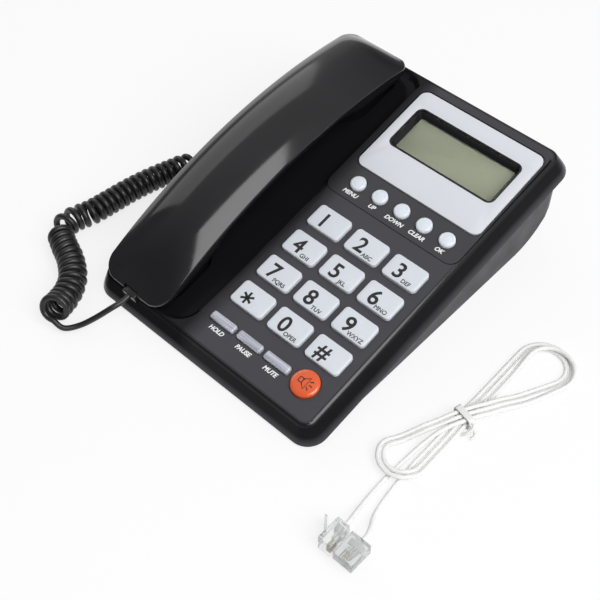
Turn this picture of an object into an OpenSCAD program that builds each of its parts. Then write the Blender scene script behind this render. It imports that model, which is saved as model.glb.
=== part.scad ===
// Corded desk telephone with a caller display, a curly handset cord and a spare line cord.
// Millimetres, +Z up, +Y towards the back, origin on the table under the middle of the case.

/* [Case] */
// Width of the upper case at its lip
case_w = 135; // [131:1:142]
// Length of the upper case at its lip, along the slope
case_l = 184.5; // [180:0.5:200]
// Depth of the upper case, square to the panel
case_t = 10.7; // [10.5:0.1:13]
// How far the walls of the upper case spread from panel to lip
case_flare = 5; // [3:0.5:6]
// Plan radius of the lip's corners
case_corner_r = 10; // [9:0.5:14]
// Radius of the edge round the panel
case_edge_r = 2.5; // [1.5:0.1:3]
// Slope of the panel in degrees
slope = 11; // [8:0.5:14]
// Wall of the mouldings
wall = 2.2; // [1.8:0.1:2.4]
// Height of the lip above the table at the front
lip_gap = 1.1; // [1:0.1:4]

/* [Lower case] */
// Step from the lip in to the lower case
low_inset = 2.6; // [2.5:0.1:5]
// Height of the underside above the table
floor_gap = 1; // [0.6:0.1:1]
// Step from the lip in to the rear wall of the lower case
rear_inset = 4.6; // [4:0.2:7]
// Radius of the rounded rear underside
rear_r = 30; // [20:1:32]
// Diameter of a rubber foot
foot_d = 10; // [7:0.5:12]
// Depth that a foot sits in the underside
foot_sink = 0.6; // [0.4:0.1:1]
// Diameter of the shank of a case screw
screw_d = 2.9; // [2.2:0.1:3]

/* [Keypad] */
// Place of the keypad's centre across the case
pad_x = 25.3; // [24:0.1:26]
// Place of the keypad's centre along the slope
pad_v = -30.75; // [-32:0.25:-30]
// Width of a dial key
key_w = 18.4; // [14:0.1:18.6]
// Length of a dial key
key_l = 12.2; // [9:0.1:13]
// Corner radius of a dial key
key_r = 2.2; // [1.5:0.1:3]
// Column pitch of the dial keys
key_px = 22; // [21.5:0.1:22.4]
// Row pitch of the dial keys
key_pv = 16.9; // [16:0.1:17.2]
// Height of the keys above the panel
key_rise = 1.8; // [1.2:0.1:2.6]
// Travel of every key
key_travel = 1.2; // [0.8:0.1:1.4]
// Gap round every key
key_gap = 0.35; // [0.25:0.05:0.5]
// Width of a slim key
slim_w = 13.8; // [11:0.1:14]
// Length of a slim key
slim_l = 4.2; // [3:0.1:5]
// Pitch of the slim keys
slim_pitch = 16; // [15.8:0.1:16.2]
// Distance of the slim keys and the loudspeaker key from the keypad's centre
slim_v = -41.4; // [-42:0.1:-41]
// Diameter of the loudspeaker key
speaker_key_d = 13; // [10:0.5:14]
// Diameter of a round key
round_d = 7.6; // [6:0.1:8.5]
// Pitch of the round keys
round_pitch = 12.85; // [12:0.05:13]

/* [Display] */
// Extra slope of the display block in degrees
block_tilt = 1.5; // [1:0.25:2]
// Width of the silver plate
plate_w = 70; // [66:0.5:71]
// Length of the silver plate
plate_l = 51.5; // [48:0.5:52]
// Thickness of the silver plate
plate_t = 1; // [0.8:0.1:1.4]
// Width of the opening in the silver plate
view_w = 59; // [54:0.2:60]
// Length of the opening in the silver plate
view_l = 24.5; // [20:0.5:25]
// Depth of the display's glass below the block's face
view_depth = 3; // [2:0.1:3.2]
// Thickness of the clear window
lens_t = 1; // [0.8:0.1:1.2]
// Thickness of the liquid crystal glass
lcd_t = 2.4; // [1.5:0.1:2.6]

/* [Cradle] */
// Depth of the trough under the handset
trough_d = 3; // [2:0.2:3.4]
// Depth of the two wells in the trough
well_d = 6.8; // [6:0.1:7]
// Width of the wells
well_w = 32; // [31:0.5:33]
// Travel of the hook plunger
hook_travel = 4; // [3:0.25:4]
// Gap between the handset and its seat
seat_gap = 0.3; // [0.2:0.05:0.5]

/* [Handset] */
// Length of the handset
hs_len = 173; // [172:0.5:174]
// Width of the handset
hs_w = 39; // [37:0.5:40]
// Corner radius of the mouth end, seen from above
hs_near_r = 9; // [6:0.5:16]
// Corner radius of the ear end, seen from above
hs_far_r = 7; // [5:0.5:14]
// Height of the parting line above the panel at the top of its arch
hs_rim = 18.5; // [17:0.25:20]
// Radius of the parting line's arch
hs_arch_r = 265; // [255:1:290]
// Height of the dome of the upper shell
hs_dome = 7; // [6:0.25:9]
// Height of the upright edge round the dome
hs_edge = 0.9; // [0.6:0.1:1.4]
// Height of the grip's underside above the panel
hs_grip = 7; // [6:0.5:9]
// Wall of the handset's shells
hs_wall = 2.2; // [1.8:0.1:2.4]
// Diameter of the earpiece capsule
ear_d = 22; // [18:0.5:22]
// Diameter of the microphone capsule
mic_d = 9.6; // [6:0.2:10]

/* [Plugs and cords] */
// Width of a handset plug
hplug_w = 7.65; // [7:0.05:8]
// Width of a line plug
lplug_w = 9.65; // [9:0.05:10]
// Thickness of a plug
plug_t = 6.3; // [6:0.1:6.6]
// Length of a plug
plug_l = 11.7; // [11:0.1:12]
// Diameter of the handset cord
cord_d = 2.9; // [2.4:0.1:2.9]
// Outside diameter of the curls at the base's end
curl_od = 12.2; // [11.8:0.1:12.4]
// How much wider the curls are at the handset's end
curl_open = 1.1; // [0.6:0.1:1.4]
// Gap between one curl and the next
curl_gap = 0.45; // [0.4:0.05:0.8]
// Diameter of the line cord
line_d = 2; // [1.6:0.1:2]
// Gap between the strands of the hank
strand_gap = 0.45; // [0.42:0.01:0.6]

/* [Hidden] */
$fn = 48;
eps = 0.01;
cut = 60;

// Levels square to the panel, with 0 on the panel's face
panel_y = -case_t * sin(slope);
panel_z = lip_gap + case_l / 2 * sin(slope) + case_t * cos(slope);
flange_top = -wall - 0.3;
flange_t = 1.5;
flange_lap = 1;
mat_top = flange_top - flange_t - key_travel - 0.3;
mat_t = 1.4;
board_top = mat_top - mat_t;
board_t = 1.6;
wall_lean = atan(case_flare / case_t);
wall_run = wall / cos(wall_lean);

// Lower case
low_w = case_w - 2 * low_inset;
low_front = -case_l / 2 * cos(slope) + 8;
low_rear = case_l / 2 * cos(slope) - rear_inset;
low_corner_r = 8;
boss_r = 3.2;
screw_head_d = 5.6;
screw_head_h = 2;
screw_seat = -case_t - 2.3;
screw_tip = -case_t + 4.5;
foot_places = [[-48, -64], [48, -64], [-48, 44], [48, 44]];
board_posts = [[-8.8, -45], [-8.8, 0], [8, -78], [40, -78], [14.3, 6.5], [47, 6.5]];

// Keys: the marks run along the rows from the back
dial_marks = ["1", "2", "3", "4", "5", "6", "7", "8", "9", "star", "0", "hash"];
slim_marks = ["hold", "pause", "mute"];
round_marks = ["menu", "up", "down", "clear", "ok"];
slim_x = pad_x - 8.9 - slim_pitch;
speaker_key_x = pad_x + 23;

// Display block: it turns about its front edge
block_v = 9.5;
block_h = 0.3;
block_w = case_w / 2 - case_flare - 1 - (pad_x - 39);
block_x = pad_x - 39 + block_w / 2;
block_l = case_l / 2 - case_flare - 3.2 - block_v;
block_seat = -1.2;
round_w = 9.55;
plate_sink = 0.5;
plate_gap = 1;
plate_mid = 44.2;
view_x = pad_x - 0.3;
view_mid = 48;
view_lean = 2.4;
glass_w = view_w + 1.4;
glass_l = view_l + 1;
tub_wall = 1.6;
tub_bottom = -view_depth - lens_t - lcd_t - 0.6;

// Cradle and handset: the handset's own length runs from its mouth end
hs_x = -42.5;
hs_front = -hs_len / 2 - 1.25;
trough_right = -12;
trough_left = -case_w / 2 - 15;
trough_r = 12;
trough_front = hs_front + 2;
trough_back = hs_front + hs_len + 1;
mouth_well = [5, 40];
ear_well = [hs_len - 40, hs_len - 1.5];
pod_low = -well_d + seat_gap;
hook_v = hs_front + hs_len - 34;
hook_w = 7.4;
hook_l = 4.4;
hook_flange = [10, 7, 1];
hook_low = -well_d - wall - 0.2 - hook_travel - hook_flange[2];

// Case screws: two beside the keys, two under the trough
screw_places = [[case_w / 2 - 8.5, block_v - 3.5], [case_w / 2 - 8.5, case_l / 2 - 13.25],
    [hs_x + 8.5, -20], [hs_x + 8.5, 25]];

// Jacks and plugs
jack_wall = 2.2;
jack_high = plug_t + 3 * jack_wall;
fit = 0.2;
base_jack_y = 30;
base_jack_z = 12;
line_jack_x = 25;
line_jack_z = lip_gap + case_l * sin(slope) - 8.8;
jack_deep = 15;
hs_jack_n = 3.6;
hs_jack_at = 2.5;
hs_jack_deep = 10;
hs_jack_room = plug_t + 1;
plug_out = 3;

// Handset cord: lead from the base, line of the curls, tail to the handset
curl_r = (curl_od - cord_d) / 2;
base_plug_x = -low_w / 2 - 3.5;
lead_route = [[base_plug_x, base_jack_y, base_jack_z], [base_plug_x - 3.5, base_jack_y, base_jack_z],
    [-78, 29, 11], [-83, 24, 9], [-85.5, 16, 7.4], [-86.8, 8, 6.5], [-87.6, 0, 6.2]];
curl_route = [[-87.6, 0, 6.2], [-90.6, -14.4, 6.2], [-94.6, -28.4, 6.2], [-97.1, -41.4, 6.2], [-98.3, -53.2, 6.3],
    [-99.6, -64, 6.4], [-102.3, -74, 6.5], [-100.5, -82, 6.6], [-93, -86.5, 6.7], [-83.5, -90.5, 6.8],
    [-74, -97, 7.1], [-68.5, -104, 7.6], [-65.6, -110.2, 8.8], [-63.4, -115, 11]];
tail_route = [[-57.5, -115.8, 3.4], [-53.5, -109.5, 4], [-49.3, -103.6, 8], [-45, -98.8, 13.2]];
curl_ramp = 540;
curl_end = 270;

// Line cord: a figure-of-eight hank round two centres, and a tail to each plug
hank_mid = [103, -34];
hank_turn = 12.6;
hank_up_r = 10.9;
hank_low_r = 7.7;
hank_up = 46.6;
hank_low = hank_up * hank_low_r / hank_up_r;
hank_lean = asin(hank_up_r / hank_up);
hank_halves = 5;
hank_lanes = [-1, 1, 1, 0, 0, -1];
hank_rings = 24;
strand_step = line_d + strand_gap;
line_low = line_d / 2 + 0.05;
tie_lift = 1.2;
tie_t = 0.8;
tie_band = 3;
plug_a_at = [99.8, -107];
plug_b_at = [109.2, -107.3];
plug_b_lift = 2.2;
tail_a = [[99.8, -103.4, lplug_w / 2], [98.6, -98, 3], [97.4, -90, 1.3], [96.8, -79, line_low],
    [97, -70, line_low], [97.4, -63, line_low + 0.3], [98.2, -56, line_low + 1.5],
    [99.8, -48, line_low + 2.8], [102, -42, line_low + 3.6]];
tail_b = [[100.7, -45, line_low + 0.3], [100.8, -55, line_low], [100.9, -65, line_low],
    [101.6, -75, line_low], [102.8, -86, line_low + 0.1], [104.6, -94, 1.8], [107.6, -100, 4.2],
    [109.2, -104, plug_b_lift + plug_t / 2]];

// Curves

function smooth(x) = let (c = min(max(x, 0), 1)) c * c * (3 - 2 * c);
function unit(a) = a / norm(a);
function turned(a, t) = [a[0] * cos(t) - a[1] * sin(t), a[0] * sin(t) + a[1] * cos(t)];

// Point on a smooth curve between b and c
function between(a, b, c, d, t) =
    (2 * b + (c - a) * t + (2 * a - 5 * b + 4 * c - d) * t * t + (3 * b - a - 3 * c + d) * t * t * t) / 2;

// Smooth curve through the points, with k steps from one to the next
function curve(p, k) = let (n = len(p) - 1) concat(
    [for (i = [0:n - 1], j = [0:k - 1]) between(p[max(i - 1, 0)], p[i], p[i + 1], p[min(i + 2, n)], j / k)],
    [p[n]]);

// Running total of a list
function totals(a) = [for (i = 0, s = 0; i <= len(a); s = s + (i < len(a) ? a[i] : 0), i = i + 1) s];

// Length of a line of points
function line_length(p) = totals([for (i = [1:len(p) - 1]) norm(p[i] - p[i - 1])])[len(p) - 1];

// Directions along a line of points
function headings(p) = let (n = len(p) - 1) [for (i = [0:n]) unit(p[min(i + 1, n)] - p[max(i - 1, 0)])];

// Least gap between a tube and itself, leaving out points closer than skip along it
function least_gap(p, d, skip) =
    min([for (i = [0:len(p) - skip - 1]) min([for (j = [i + skip:len(p) - 1]) norm(p[i] - p[j])])]) - d;

// Tube of sides k along a line of points
module tube(p, d, k = 6) {
    n = len(p);
    t = headings(p);
    first = unit(cross(t[0], [0, 0, 1]));
    side = [for (i = 0, u = first; i < n; i = i + 1, u = i < n ? unit(u - (u * t[i]) * t[i]) : u) u];
    ring = [for (i = [0:n - 1], j = [0:k - 1]) p[i] + d / 2 * (side[i] * cos(360 * j / k)
        + cross(t[i], side[i]) * sin(360 * j / k))];
    skin = [for (i = [0:n - 2], j = [0:k - 1], h = [0, 1]) let (a = i * k + j, b = i * k + (j + 1) % k)
        h == 0 ? [a, a + k, b] : [b, a + k, b + k]];
    last = (n - 1) * k;
    ends = [for (j = [1:k - 2], h = [0, 1]) h == 0 ? [0, j, j + 1] : [last, last + j + 1, last + j]];
    polyhedron(ring, concat(skin, ends), convexity = 10);
}

// Shared shapes

module on_panel() {
    translate([0, panel_y, panel_z]) rotate([slope, 0, 0]) children();
}

module on_block() {
    on_panel() translate([0, block_v, block_h]) rotate([block_tilt, 0, 0]) children();
}

// Outline of a rectangle with round corners
function rounded(w, l, r, k = 4) = [for (c = [0:3], i = [0:k]) let (a = 90 * (c + i / k))
    [(c == 0 || c == 3 ? 1 : -1) * (w / 2 - r) + r * cos(a), (c < 2 ? 1 : -1) * (l / 2 - r) + r * sin(a)]];

module plate(w, l, r, low, high) {
    translate([0, 0, low]) linear_extrude(high - low) polygon(rounded(w, l, r));
}

// Solid with a rounded rectangular plan: edge lists [out, up] from the corner's centre, from the bottom up
module edged(w, l, r, edge) {
    hx = w / 2 - r;
    hy = l / 2 - r;
    last = len(edge) - 1;
    back = [for (i = [last:-1:0]) edge[i]];
    rotate([90, 0, 0]) linear_extrude(l - 2 * r, center = true)
        polygon(concat([for (e = edge) [hx + e[0], e[1]]], [for (e = back) [-hx - e[0], e[1]]]));
    rotate([90, 0, 90]) linear_extrude(w - 2 * r, center = true)
        polygon(concat([for (e = edge) [hy + e[0], e[1]]], [for (e = back) [-hy - e[0], e[1]]]));
    for (sx = [-1, 1], sy = [-1, 1]) translate([sx * hx, sy * hy, 0])
        rotate_extrude() polygon(concat([[0, edge[0][1]]], edge, [[0, edge[last][1]]]));
}

// Leaning wall with a rounded top edge
function wall_edge(k = 4) = let (
    lift = case_edge_r,
    foot = case_corner_r - case_flare + case_flare * lift / case_t - lift / cos(wall_lean))
    concat([[case_corner_r, -case_t]], [for (i = [0:k])
        let (a = wall_lean + (90 - wall_lean) * i / k) [foot + lift * cos(a), lift * sin(a) - lift]]);

// Upper case

function dial_place(i) = [pad_x + (i % 3 - 1) * key_px, pad_v + (1.5 - floor(i / 3)) * key_pv];
function slim_place(i) = [slim_x + i * slim_pitch, pad_v + slim_v];
function round_place(i) = [pad_x + (i - 2) * round_pitch, round_w];

module case_outside() {
    edged(case_w, case_l, case_corner_r, wall_edge());
}

module case_inside() {
    edged(case_w, case_l, case_corner_r, [[case_corner_r - wall_run, -case_t - eps],
        [case_corner_r - wall_run - case_flare * (case_t - wall) / case_t, -wall]]);
}

// Shape of the trough; grow gives the moulding round it
module trough(grow) {
    w = trough_right - trough_left + 2 * grow;
    l = trough_back - trough_front + 2 * grow;
    r = trough_r + grow;
    translate([(trough_right + trough_left) / 2, (trough_back + trough_front) / 2, 0])
        edged(w, l, r, [[r - trough_d, -trough_d - grow], [r, 0], [r, 5]]);
}

module well(span, grow) {
    translate([hs_x, hs_front + (span[0] + span[1]) / 2, 0])
        plate(well_w + 2 * grow, span[1] - span[0] + 2 * grow, 9, -well_d - grow, 1);
}

module key_holes() {
    for (i = [0:11]) translate(dial_place(i))
        plate(key_w + 2 * key_gap, key_l + 2 * key_gap, key_r + key_gap, -cut, cut);
    for (i = [0:2]) translate(slim_place(i))
        plate(slim_w + 2 * key_gap, slim_l + 2 * key_gap, 1 + key_gap, -cut, cut);
    translate([speaker_key_x, pad_v + slim_v, 0])
        cylinder(h = cut, d = speaker_key_d + 2 * key_gap, center = true);
}

module round_key_holes() {
    for (i = [0:4]) translate(round_place(i)) cylinder(h = cut, d = round_d + 2 * key_gap, center = true);
}

module block_plan(grow, low, high) {
    translate([block_x, block_v + block_l / 2, 0])
        plate(block_w + 2 * grow, block_l + 2 * grow, 5 + grow, low, high);
}

module top_shell() {
    color([0.10, 0.10, 0.11]) difference() {
        on_panel() difference() {
            union() {
                difference() {
                    case_outside();
                    difference() {
                        case_inside();
                        trough(wall);
                        well(mouth_well, wall);
                        well(ear_well, wall);
                    }
                }
                for (p = screw_places) translate([p[0], p[1], -case_t])
                    cylinder(h = case_t - (p[0] < trough_right ? trough_d + 1 : 1), r = boss_r);
                for (p = board_posts) translate([p[0], p[1], board_top])
                    cylinder(h = -board_top - 1, r = 1.5);
            }
            trough(0);
            well(mouth_well, 0);
            well(ear_well, 0);
            key_holes();
            block_plan(0.15, block_seat, cut);
            for (p = screw_places) translate([p[0], p[1], -case_t - 1]) cylinder(h = 7, d = screw_d + 0.1);
            translate([hs_x, hook_v, 0]) cube([hook_w + 2 * fit, hook_l + 2 * fit, cut], center = true);
        }
        on_block() {
            round_key_holes();
            translate([view_x, view_mid, tub_bottom - 1])
                plate(glass_w + 2 * tub_wall + 0.6, glass_l + 2 * tub_wall + 0.6, 1, 0, cut);
        }
    }
}

// Lower case

// Side view of the lower case, drawn in by step from its outside
function low_side(step, top) = let (r = rear_r - step, y = low_rear - rear_r, z = floor_gap + rear_r) concat(
    [[low_front + 3 * step, floor_gap + step]],
    [for (i = [0:8]) [y + r * sin(90 * i / 8), z - r * cos(90 * i / 8)]],
    [[low_rear - step, lip_gap + (low_rear - step + case_l / 2 * cos(slope)) * tan(slope) + top],
    [low_front + 3 * step, lip_gap + (low_front + 3 * step + case_l / 2 * cos(slope)) * tan(slope) + top]]);

module low_solid(step, top) {
    mid = (low_front + low_rear) / 2;
    intersection() {
        rotate([90, 0, 90]) linear_extrude(low_w - 2 * step, center = true) polygon(low_side(step, top));
        translate([0, mid, 0])
            plate(low_w - 2 * step, low_rear - low_front - 2 * step, low_corner_r - step, -1, cut);
    }
}

speaker_at = [25, 28];
speaker_d = 40;
speaker_h = 11;

module bottom_shell() {
    color([0.16, 0.16, 0.17]) difference() {
        union() {
            difference() {
                low_solid(0, 0);
                low_solid(wall, wall * 4);
            }
            intersection() {
                low_solid(0, 0);
                on_panel() for (p = screw_places) translate([p[0], p[1], -cut])
                    cylinder(h = cut - case_t, r = boss_r + 1.3);
            }
            translate([speaker_at[0], speaker_at[1], floor_gap + wall - eps]) difference() {
                cylinder(h = 4, d = speaker_d + 5);
                translate([0, 0, -1]) cylinder(h = 6, d = speaker_d + 0.6);
            }
        }
        on_panel() for (p = screw_places) translate([p[0], p[1], 0]) {
            translate([0, 0, -cut]) cylinder(h = cut, d = screw_d + 0.4);
            translate([0, 0, -cut]) cylinder(h = cut + screw_seat, d = screw_head_d + 0.6);
        }
        for (p = foot_places) translate([p[0], p[1], -1])
            cylinder(h = 1 + floor_gap + foot_sink, d = foot_d + 0.2);
        for (i = [-3:3]) translate([speaker_at[0] + i * 4.4, speaker_at[1], 0])
            plate(2, 2 * sqrt(pow(speaker_d / 2 - 4, 2) - pow(i * 4.4, 2)), 0.9, -1, floor_gap + wall + 1);
        translate([line_jack_x, low_rear, line_jack_z])
            cube([lplug_w + 2 * jack_wall + 2 * fit, 6 * wall, jack_high + 2 * fit], center = true);
        translate([-low_w / 2, base_jack_y, base_jack_z])
            cube([3 * wall, hplug_w + 2 * jack_wall + 2 * fit, jack_high + 2 * fit], center = true);
    }
}

module rubber_feet() {
    color([0.08, 0.08, 0.08]) for (p = foot_places) translate([p[0], p[1], 0]) {
        cylinder(h = 0.5, d1 = foot_d - 1, d2 = foot_d);
        translate([0, 0, 0.5]) cylinder(h = floor_gap + foot_sink - 0.5, d = foot_d);
    }
}

module case_screws() {
    color([0.72, 0.72, 0.70]) on_panel() for (p = screw_places) translate([p[0], p[1], 0]) difference() {
        union() {
            translate([0, 0, screw_seat - eps]) cylinder(h = screw_tip - screw_seat, d = screw_d);
            translate([0, 0, screw_seat - screw_head_h]) cylinder(h = screw_head_h, d = screw_head_d);
        }
        for (a = [0, 90]) rotate([0, 0, a]) translate([0, 0, screw_seat - screw_head_h])
            cube([3.4, 0.9, 2.2], center = true);
    }
}

// Inside the case

module main_board() {
    color([0.20, 0.36, 0.18]) on_panel() difference() {
        translate([22.5, -25, 0]) plate(65, 110, 1, board_top - board_t, board_top);
        translate(screw_places[0]) cylinder(h = cut, r = boss_r + 1, center = true);
    }
}

module keypad_mat() {
    color([0.55, 0.57, 0.58]) on_panel() difference() {
        translate([24.5, -25, 0]) plate(61, 102, 2, board_top, mat_top);
        for (p = board_posts) translate([p[0], p[1], 0]) cylinder(h = cut, r = 2.2, center = true);
    }
}

module loudspeaker() {
    color([0.25, 0.25, 0.26]) translate([speaker_at[0], speaker_at[1], floor_gap + wall]) rotate_extrude()
        polygon([[0, 0], [speaker_d / 2, 0], [speaker_d / 2, 2.5], [11, 6], [11, speaker_h], [0, speaker_h]]);
}

module hook_switch() {
    color([0.30, 0.30, 0.34]) on_panel() translate([hs_x, hook_v, 0]) difference() {
        translate([0, 0, hook_low - 3]) linear_extrude(-well_d - wall - hook_low + 3)
            square([18, 9], center = true);
        translate([0, 0, hook_low - 0.3]) linear_extrude(cut) square([hook_flange[0] + 1, 10], center = true);
    }
}

module hook_plunger() {
    color([0.13, 0.13, 0.14]) on_panel() translate([hs_x, hook_v, 0]) {
        translate([0, 0, hook_low]) plate(hook_w, hook_l, 0.6, 0, -well_d - hook_low);
        translate([0, 0, hook_low]) plate(hook_flange[0], hook_flange[1], 0.6, 0, hook_flange[2]);
    }
}

// Display

module display_housing() {
    rise = block_h + block_l * tan(block_tilt);
    color([0.13, 0.13, 0.14]) difference() {
        union() {
            on_panel() intersection() {
                translate([block_x, block_v, 0]) rotate([90, 0, 90]) linear_extrude(block_w, center = true)
                    polygon([[0, block_seat], [block_l, block_seat], [block_l, rise], [0, block_h]]);
                block_plan(0, -cut, cut);
            }
            on_block() translate([view_x, view_mid, 0])
                plate(glass_w + 2 * tub_wall, glass_l + 2 * tub_wall, 1, tub_bottom, -1);
        }
        on_block() {
            round_key_holes();
            translate([pad_x, plate_mid, 0])
                plate(plate_w + 2 * plate_gap, plate_l + 2 * plate_gap, 4 + plate_gap, -plate_sink, cut);
            translate([view_x, view_mid, 0]) view_bevel();
            translate([view_x, view_mid, 0]) plate(glass_w, glass_l, 0.6, -cut, -view_depth);
        }
    }
}

// Leaning walls from the plate's opening down to the glass
module view_bevel() {
    edged(view_w, view_l, 3, [[3 - view_lean, -view_depth - eps], [3, 0.2]]);
}

module display_plate() {
    color([0.80, 0.80, 0.83]) on_block() difference() {
        translate([pad_x, plate_mid, -plate_sink])
            edged(plate_w, plate_l, 4, [[4, 0], [4, plate_t - 0.3], [3.7, plate_t]]);
        translate([view_x, view_mid, 0]) plate(view_w, view_l, 3, -cut, cut);
    }
}

module display_window() {
    color([0.75, 0.80, 0.82, 0.35]) on_block() translate([view_x, view_mid, 0])
        plate(glass_w - 0.3, glass_l - 0.3, 0.5, -view_depth - lens_t, -view_depth);
}

module lcd_panel() {
    color([0.55, 0.58, 0.48]) on_block() translate([view_x, view_mid, 0])
        plate(glass_w - 0.6, glass_l - 0.6, 0.5, -view_depth - lens_t - lcd_t, -view_depth - lens_t);
}

module display_board() {
    color([0.20, 0.36, 0.18]) on_block() translate([view_x, view_mid, 0])
        plate(glass_w + 2 * tub_wall - 0.4, glass_l + 8, 1, tub_bottom - board_t, tub_bottom);
}

// Keys

module key_flange(w, l, top) {
    plate(w + 2 * flange_lap, l + 2 * flange_lap, 1.5, top - flange_t, top);
}

module dial_key(i) {
    color([0.88, 0.88, 0.92]) on_panel() translate(dial_place(i)) {
        edged(key_w, key_l, key_r, [[key_r, flange_top - flange_t], [key_r, key_rise - 0.9],
            [key_r - 0.25, key_rise - 0.3], [key_r - 0.9, key_rise]]);
        key_flange(key_w, key_l, flange_top);
    }
}

module slim_key(i) {
    color([0.80, 0.80, 0.85]) on_panel() translate(slim_place(i)) {
        edged(slim_w, slim_l, 1, [[1, flange_top - flange_t], [1, key_rise - 0.7], [0.4, key_rise - 0.2]]);
        key_flange(slim_w, slim_l, flange_top);
    }
}

// Round key with a domed cap
module turned_key(d, low, top) {
    rim = d / 2 + flange_lap;
    rotate_extrude() polygon(concat([[0, low], [rim, low], [rim, low + flange_t],
        [d / 2, low + flange_t], [d / 2, top - 1]],
        [for (i = [1:4]) [d / 2 * cos(22.5 * i), top - 1 + sin(22.5 * i)]]));
}

module loudspeaker_key() {
    color([0.91, 0.33, 0.10]) on_panel() translate([speaker_key_x, pad_v + slim_v, 0])
        turned_key(speaker_key_d, flange_top - flange_t, key_rise);
}

module round_key(i) {
    low = flange_top - flange_t - block_h - (round_w + round_d / 2 + flange_lap) * tan(block_tilt);
    color([0.86, 0.86, 0.90]) on_block() translate(round_place(i)) turned_key(round_d, low, key_rise);
}

// Handset: s is the distance from its mouth end

hs_peak = hs_len / 2 + 3.5;

function cap(d, r, least) = d >= r ? 1 : least + (1 - least) * sqrt(1 - pow(1 - d / r, 2));
function ease(d, r, power, least = 0) = least + (1 - least) * (1 - pow(max(1 - d / r, 0), power));
function tuck(d, r) = d >= r ? 0 : r - sqrt(r * r - pow(r - d, 2));
function hs_half(s) = hs_w / 2 - tuck(s, hs_near_r) - tuck(hs_len - s, hs_far_r);
function hs_part(s) = hs_rim - pow(s - hs_peak, 2) / (2 * hs_arch_r);
function hs_dome_at(s) = hs_dome * ease(s, 40, 2.2) * ease(hs_len - s, 25, 2.5);
function hs_low(s) = let (high = hs_part(s), pod = smooth((52 - s) / 20) + smooth((s - hs_len + 51) / 20))
    high - (high - hs_grip + (hs_grip - pod_low) * pod) * ease(s, 17, 1.6, 0.15) * cap(hs_len - s, 9, 0.2);

// Sections of the two shells, from right to left: a shallow dome with an upright edge, and half an oval
function dome_section(half, high, in, k) = concat([[half - in, 0]],
    [for (i = [0:k - 2]) let (x = (half - in) * cos(180 * i / (k - 2)))
        [x, max(hs_edge + high * (1 - pow(abs(x) / half, 2.2)) - in, 0.2)]],
    [[in - half, 0]]);
function oval_section(half, high, k) = [for (i = [0:k]) [half * cos(180 * i / k), high * sin(180 * i / k)]];

hs_stations = concat([0, 1, 2.5, 5, 9, 14], [for (i = [1:17]) 14 + i * (hs_len - 24) / 17.2],
    [hs_len - 6, hs_len - 3.5, hs_len - 1.5, hs_len - 0.4, hs_len]);
hs_parting = 0.15;

// Shell on one side of the parting line: up is 1 or -1
module handset_shell(up, k = 14) {
    n = len(hs_stations) - 1;
    m = k + 1;
    drop = up > 0 ? 0 : hs_parting;
    squeeze = (hs_len - 2 * hs_wall) / hs_len;
    function section(s, in) = up > 0 ? dome_section(hs_half(s), hs_dome_at(s), in, k)
        : oval_section(hs_half(s) - in, max(hs_part(s) - drop - hs_low(s) - in, 0.6), k);
    function ring(s, in) = [for (q = section(s, in)) [q[0], s, hs_part(s) - drop + up * q[1]]];
    outer = [for (s = hs_stations) each ring(s, 0)];
    inner = [for (s = hs_stations) each ring(hs_wall + s * squeeze, hs_wall)];
    base = (n + 1) * m;
    skin = [for (i = [0:n - 1], j = [0:k - 1], h = [0, 1]) let (a = i * m + j)
        h == 0 ? [a, a + m, a + 1] : [a + 1, a + m, a + m + 1]];
    inside = [for (f = skin) [f[0] + base, f[2] + base, f[1] + base]];
    rims = [for (i = [0:n - 1], h = [0:3]) let (a = i * m, b = a + k)
        h == 0 ? [a, a + base, a + m + base] : h == 1 ? [a, a + m + base, a + m]
        : h == 2 ? [b, b + m + base, b + base] : [b, b + m, b + m + base]];
    mouth = concat([for (j = [1:k - 1]) [0, j, j + 1]], [for (j = [1:k - 1]) [base, base + j + 1, base + j]],
        [[0, k, base + k], [0, base + k, base]]);
    e = n * m;
    ear = concat([for (j = [1:k - 1]) [e, e + j + 1, e + j]],
        [for (j = [1:k - 1]) [base + e, base + e + j, base + e + j + 1]],
        [[e, base + e + k, e + k], [e, base + e, base + e + k]]);
    faces = concat(mouth, ear, rims, inside, skin);
    polyhedron(concat(outer, inner), up > 0 ? [for (f = faces) [f[0], f[2], f[1]]] : faces, convexity = 8);
}

module on_handset() {
    on_panel() translate([hs_x, hs_front, 0]) children();
}

module handset_jack_room(grow) {
    deep = hs_jack_at + hs_jack_deep;
    translate([0, deep / 2 - 1, hs_jack_n])
        cube([hplug_w + 1.6 + 2 * grow, deep + 2 + 2 * grow, hs_jack_room + 2 * grow], center = true);
}

module handset_upper_shell() {
    color([0.10, 0.10, 0.11]) on_handset() difference() {
        handset_shell(1);
        handset_jack_room(0.1);
    }
}

ear_at = hs_len - 20;
mic_at = 22;

module grille(s, d) {
    translate([0, s, 0]) {
        cylinder(h = cut, d = 2.2, center = true);
        for (a = [0:60:300]) rotate([0, 0, a]) translate([d / 2, 0, 0])
            cylinder(h = cut, d = 2.2, center = true);
    }
}

module handset_lower_shell() {
    color([0.10, 0.10, 0.11]) on_handset() difference() {
        handset_shell(-1);
        handset_jack_room(0.1);
        grille(ear_at, 10);
        grille(mic_at, 6);
    }
}

module earpiece_capsule() {
    color([0.60, 0.60, 0.62]) on_handset() translate([0, ear_at, pod_low + hs_wall + 4.2]) {
        cylinder(h = 5, d = ear_d);
        cylinder(h = 8, d = ear_d / 2);
    }
}

module microphone_capsule() {
    color([0.70, 0.70, 0.72]) on_handset() translate([0, mic_at, pod_low + hs_wall + 0.8])
        cylinder(h = 6, d = mic_d);
}

module handset_weight() {
    color([0.55, 0.55, 0.57]) on_handset() translate([0, hs_len / 2, 0])
        plate(12, 56, 1.5, hs_grip + hs_wall + 0.8, hs_grip + hs_wall + 4.8);
}

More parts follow.
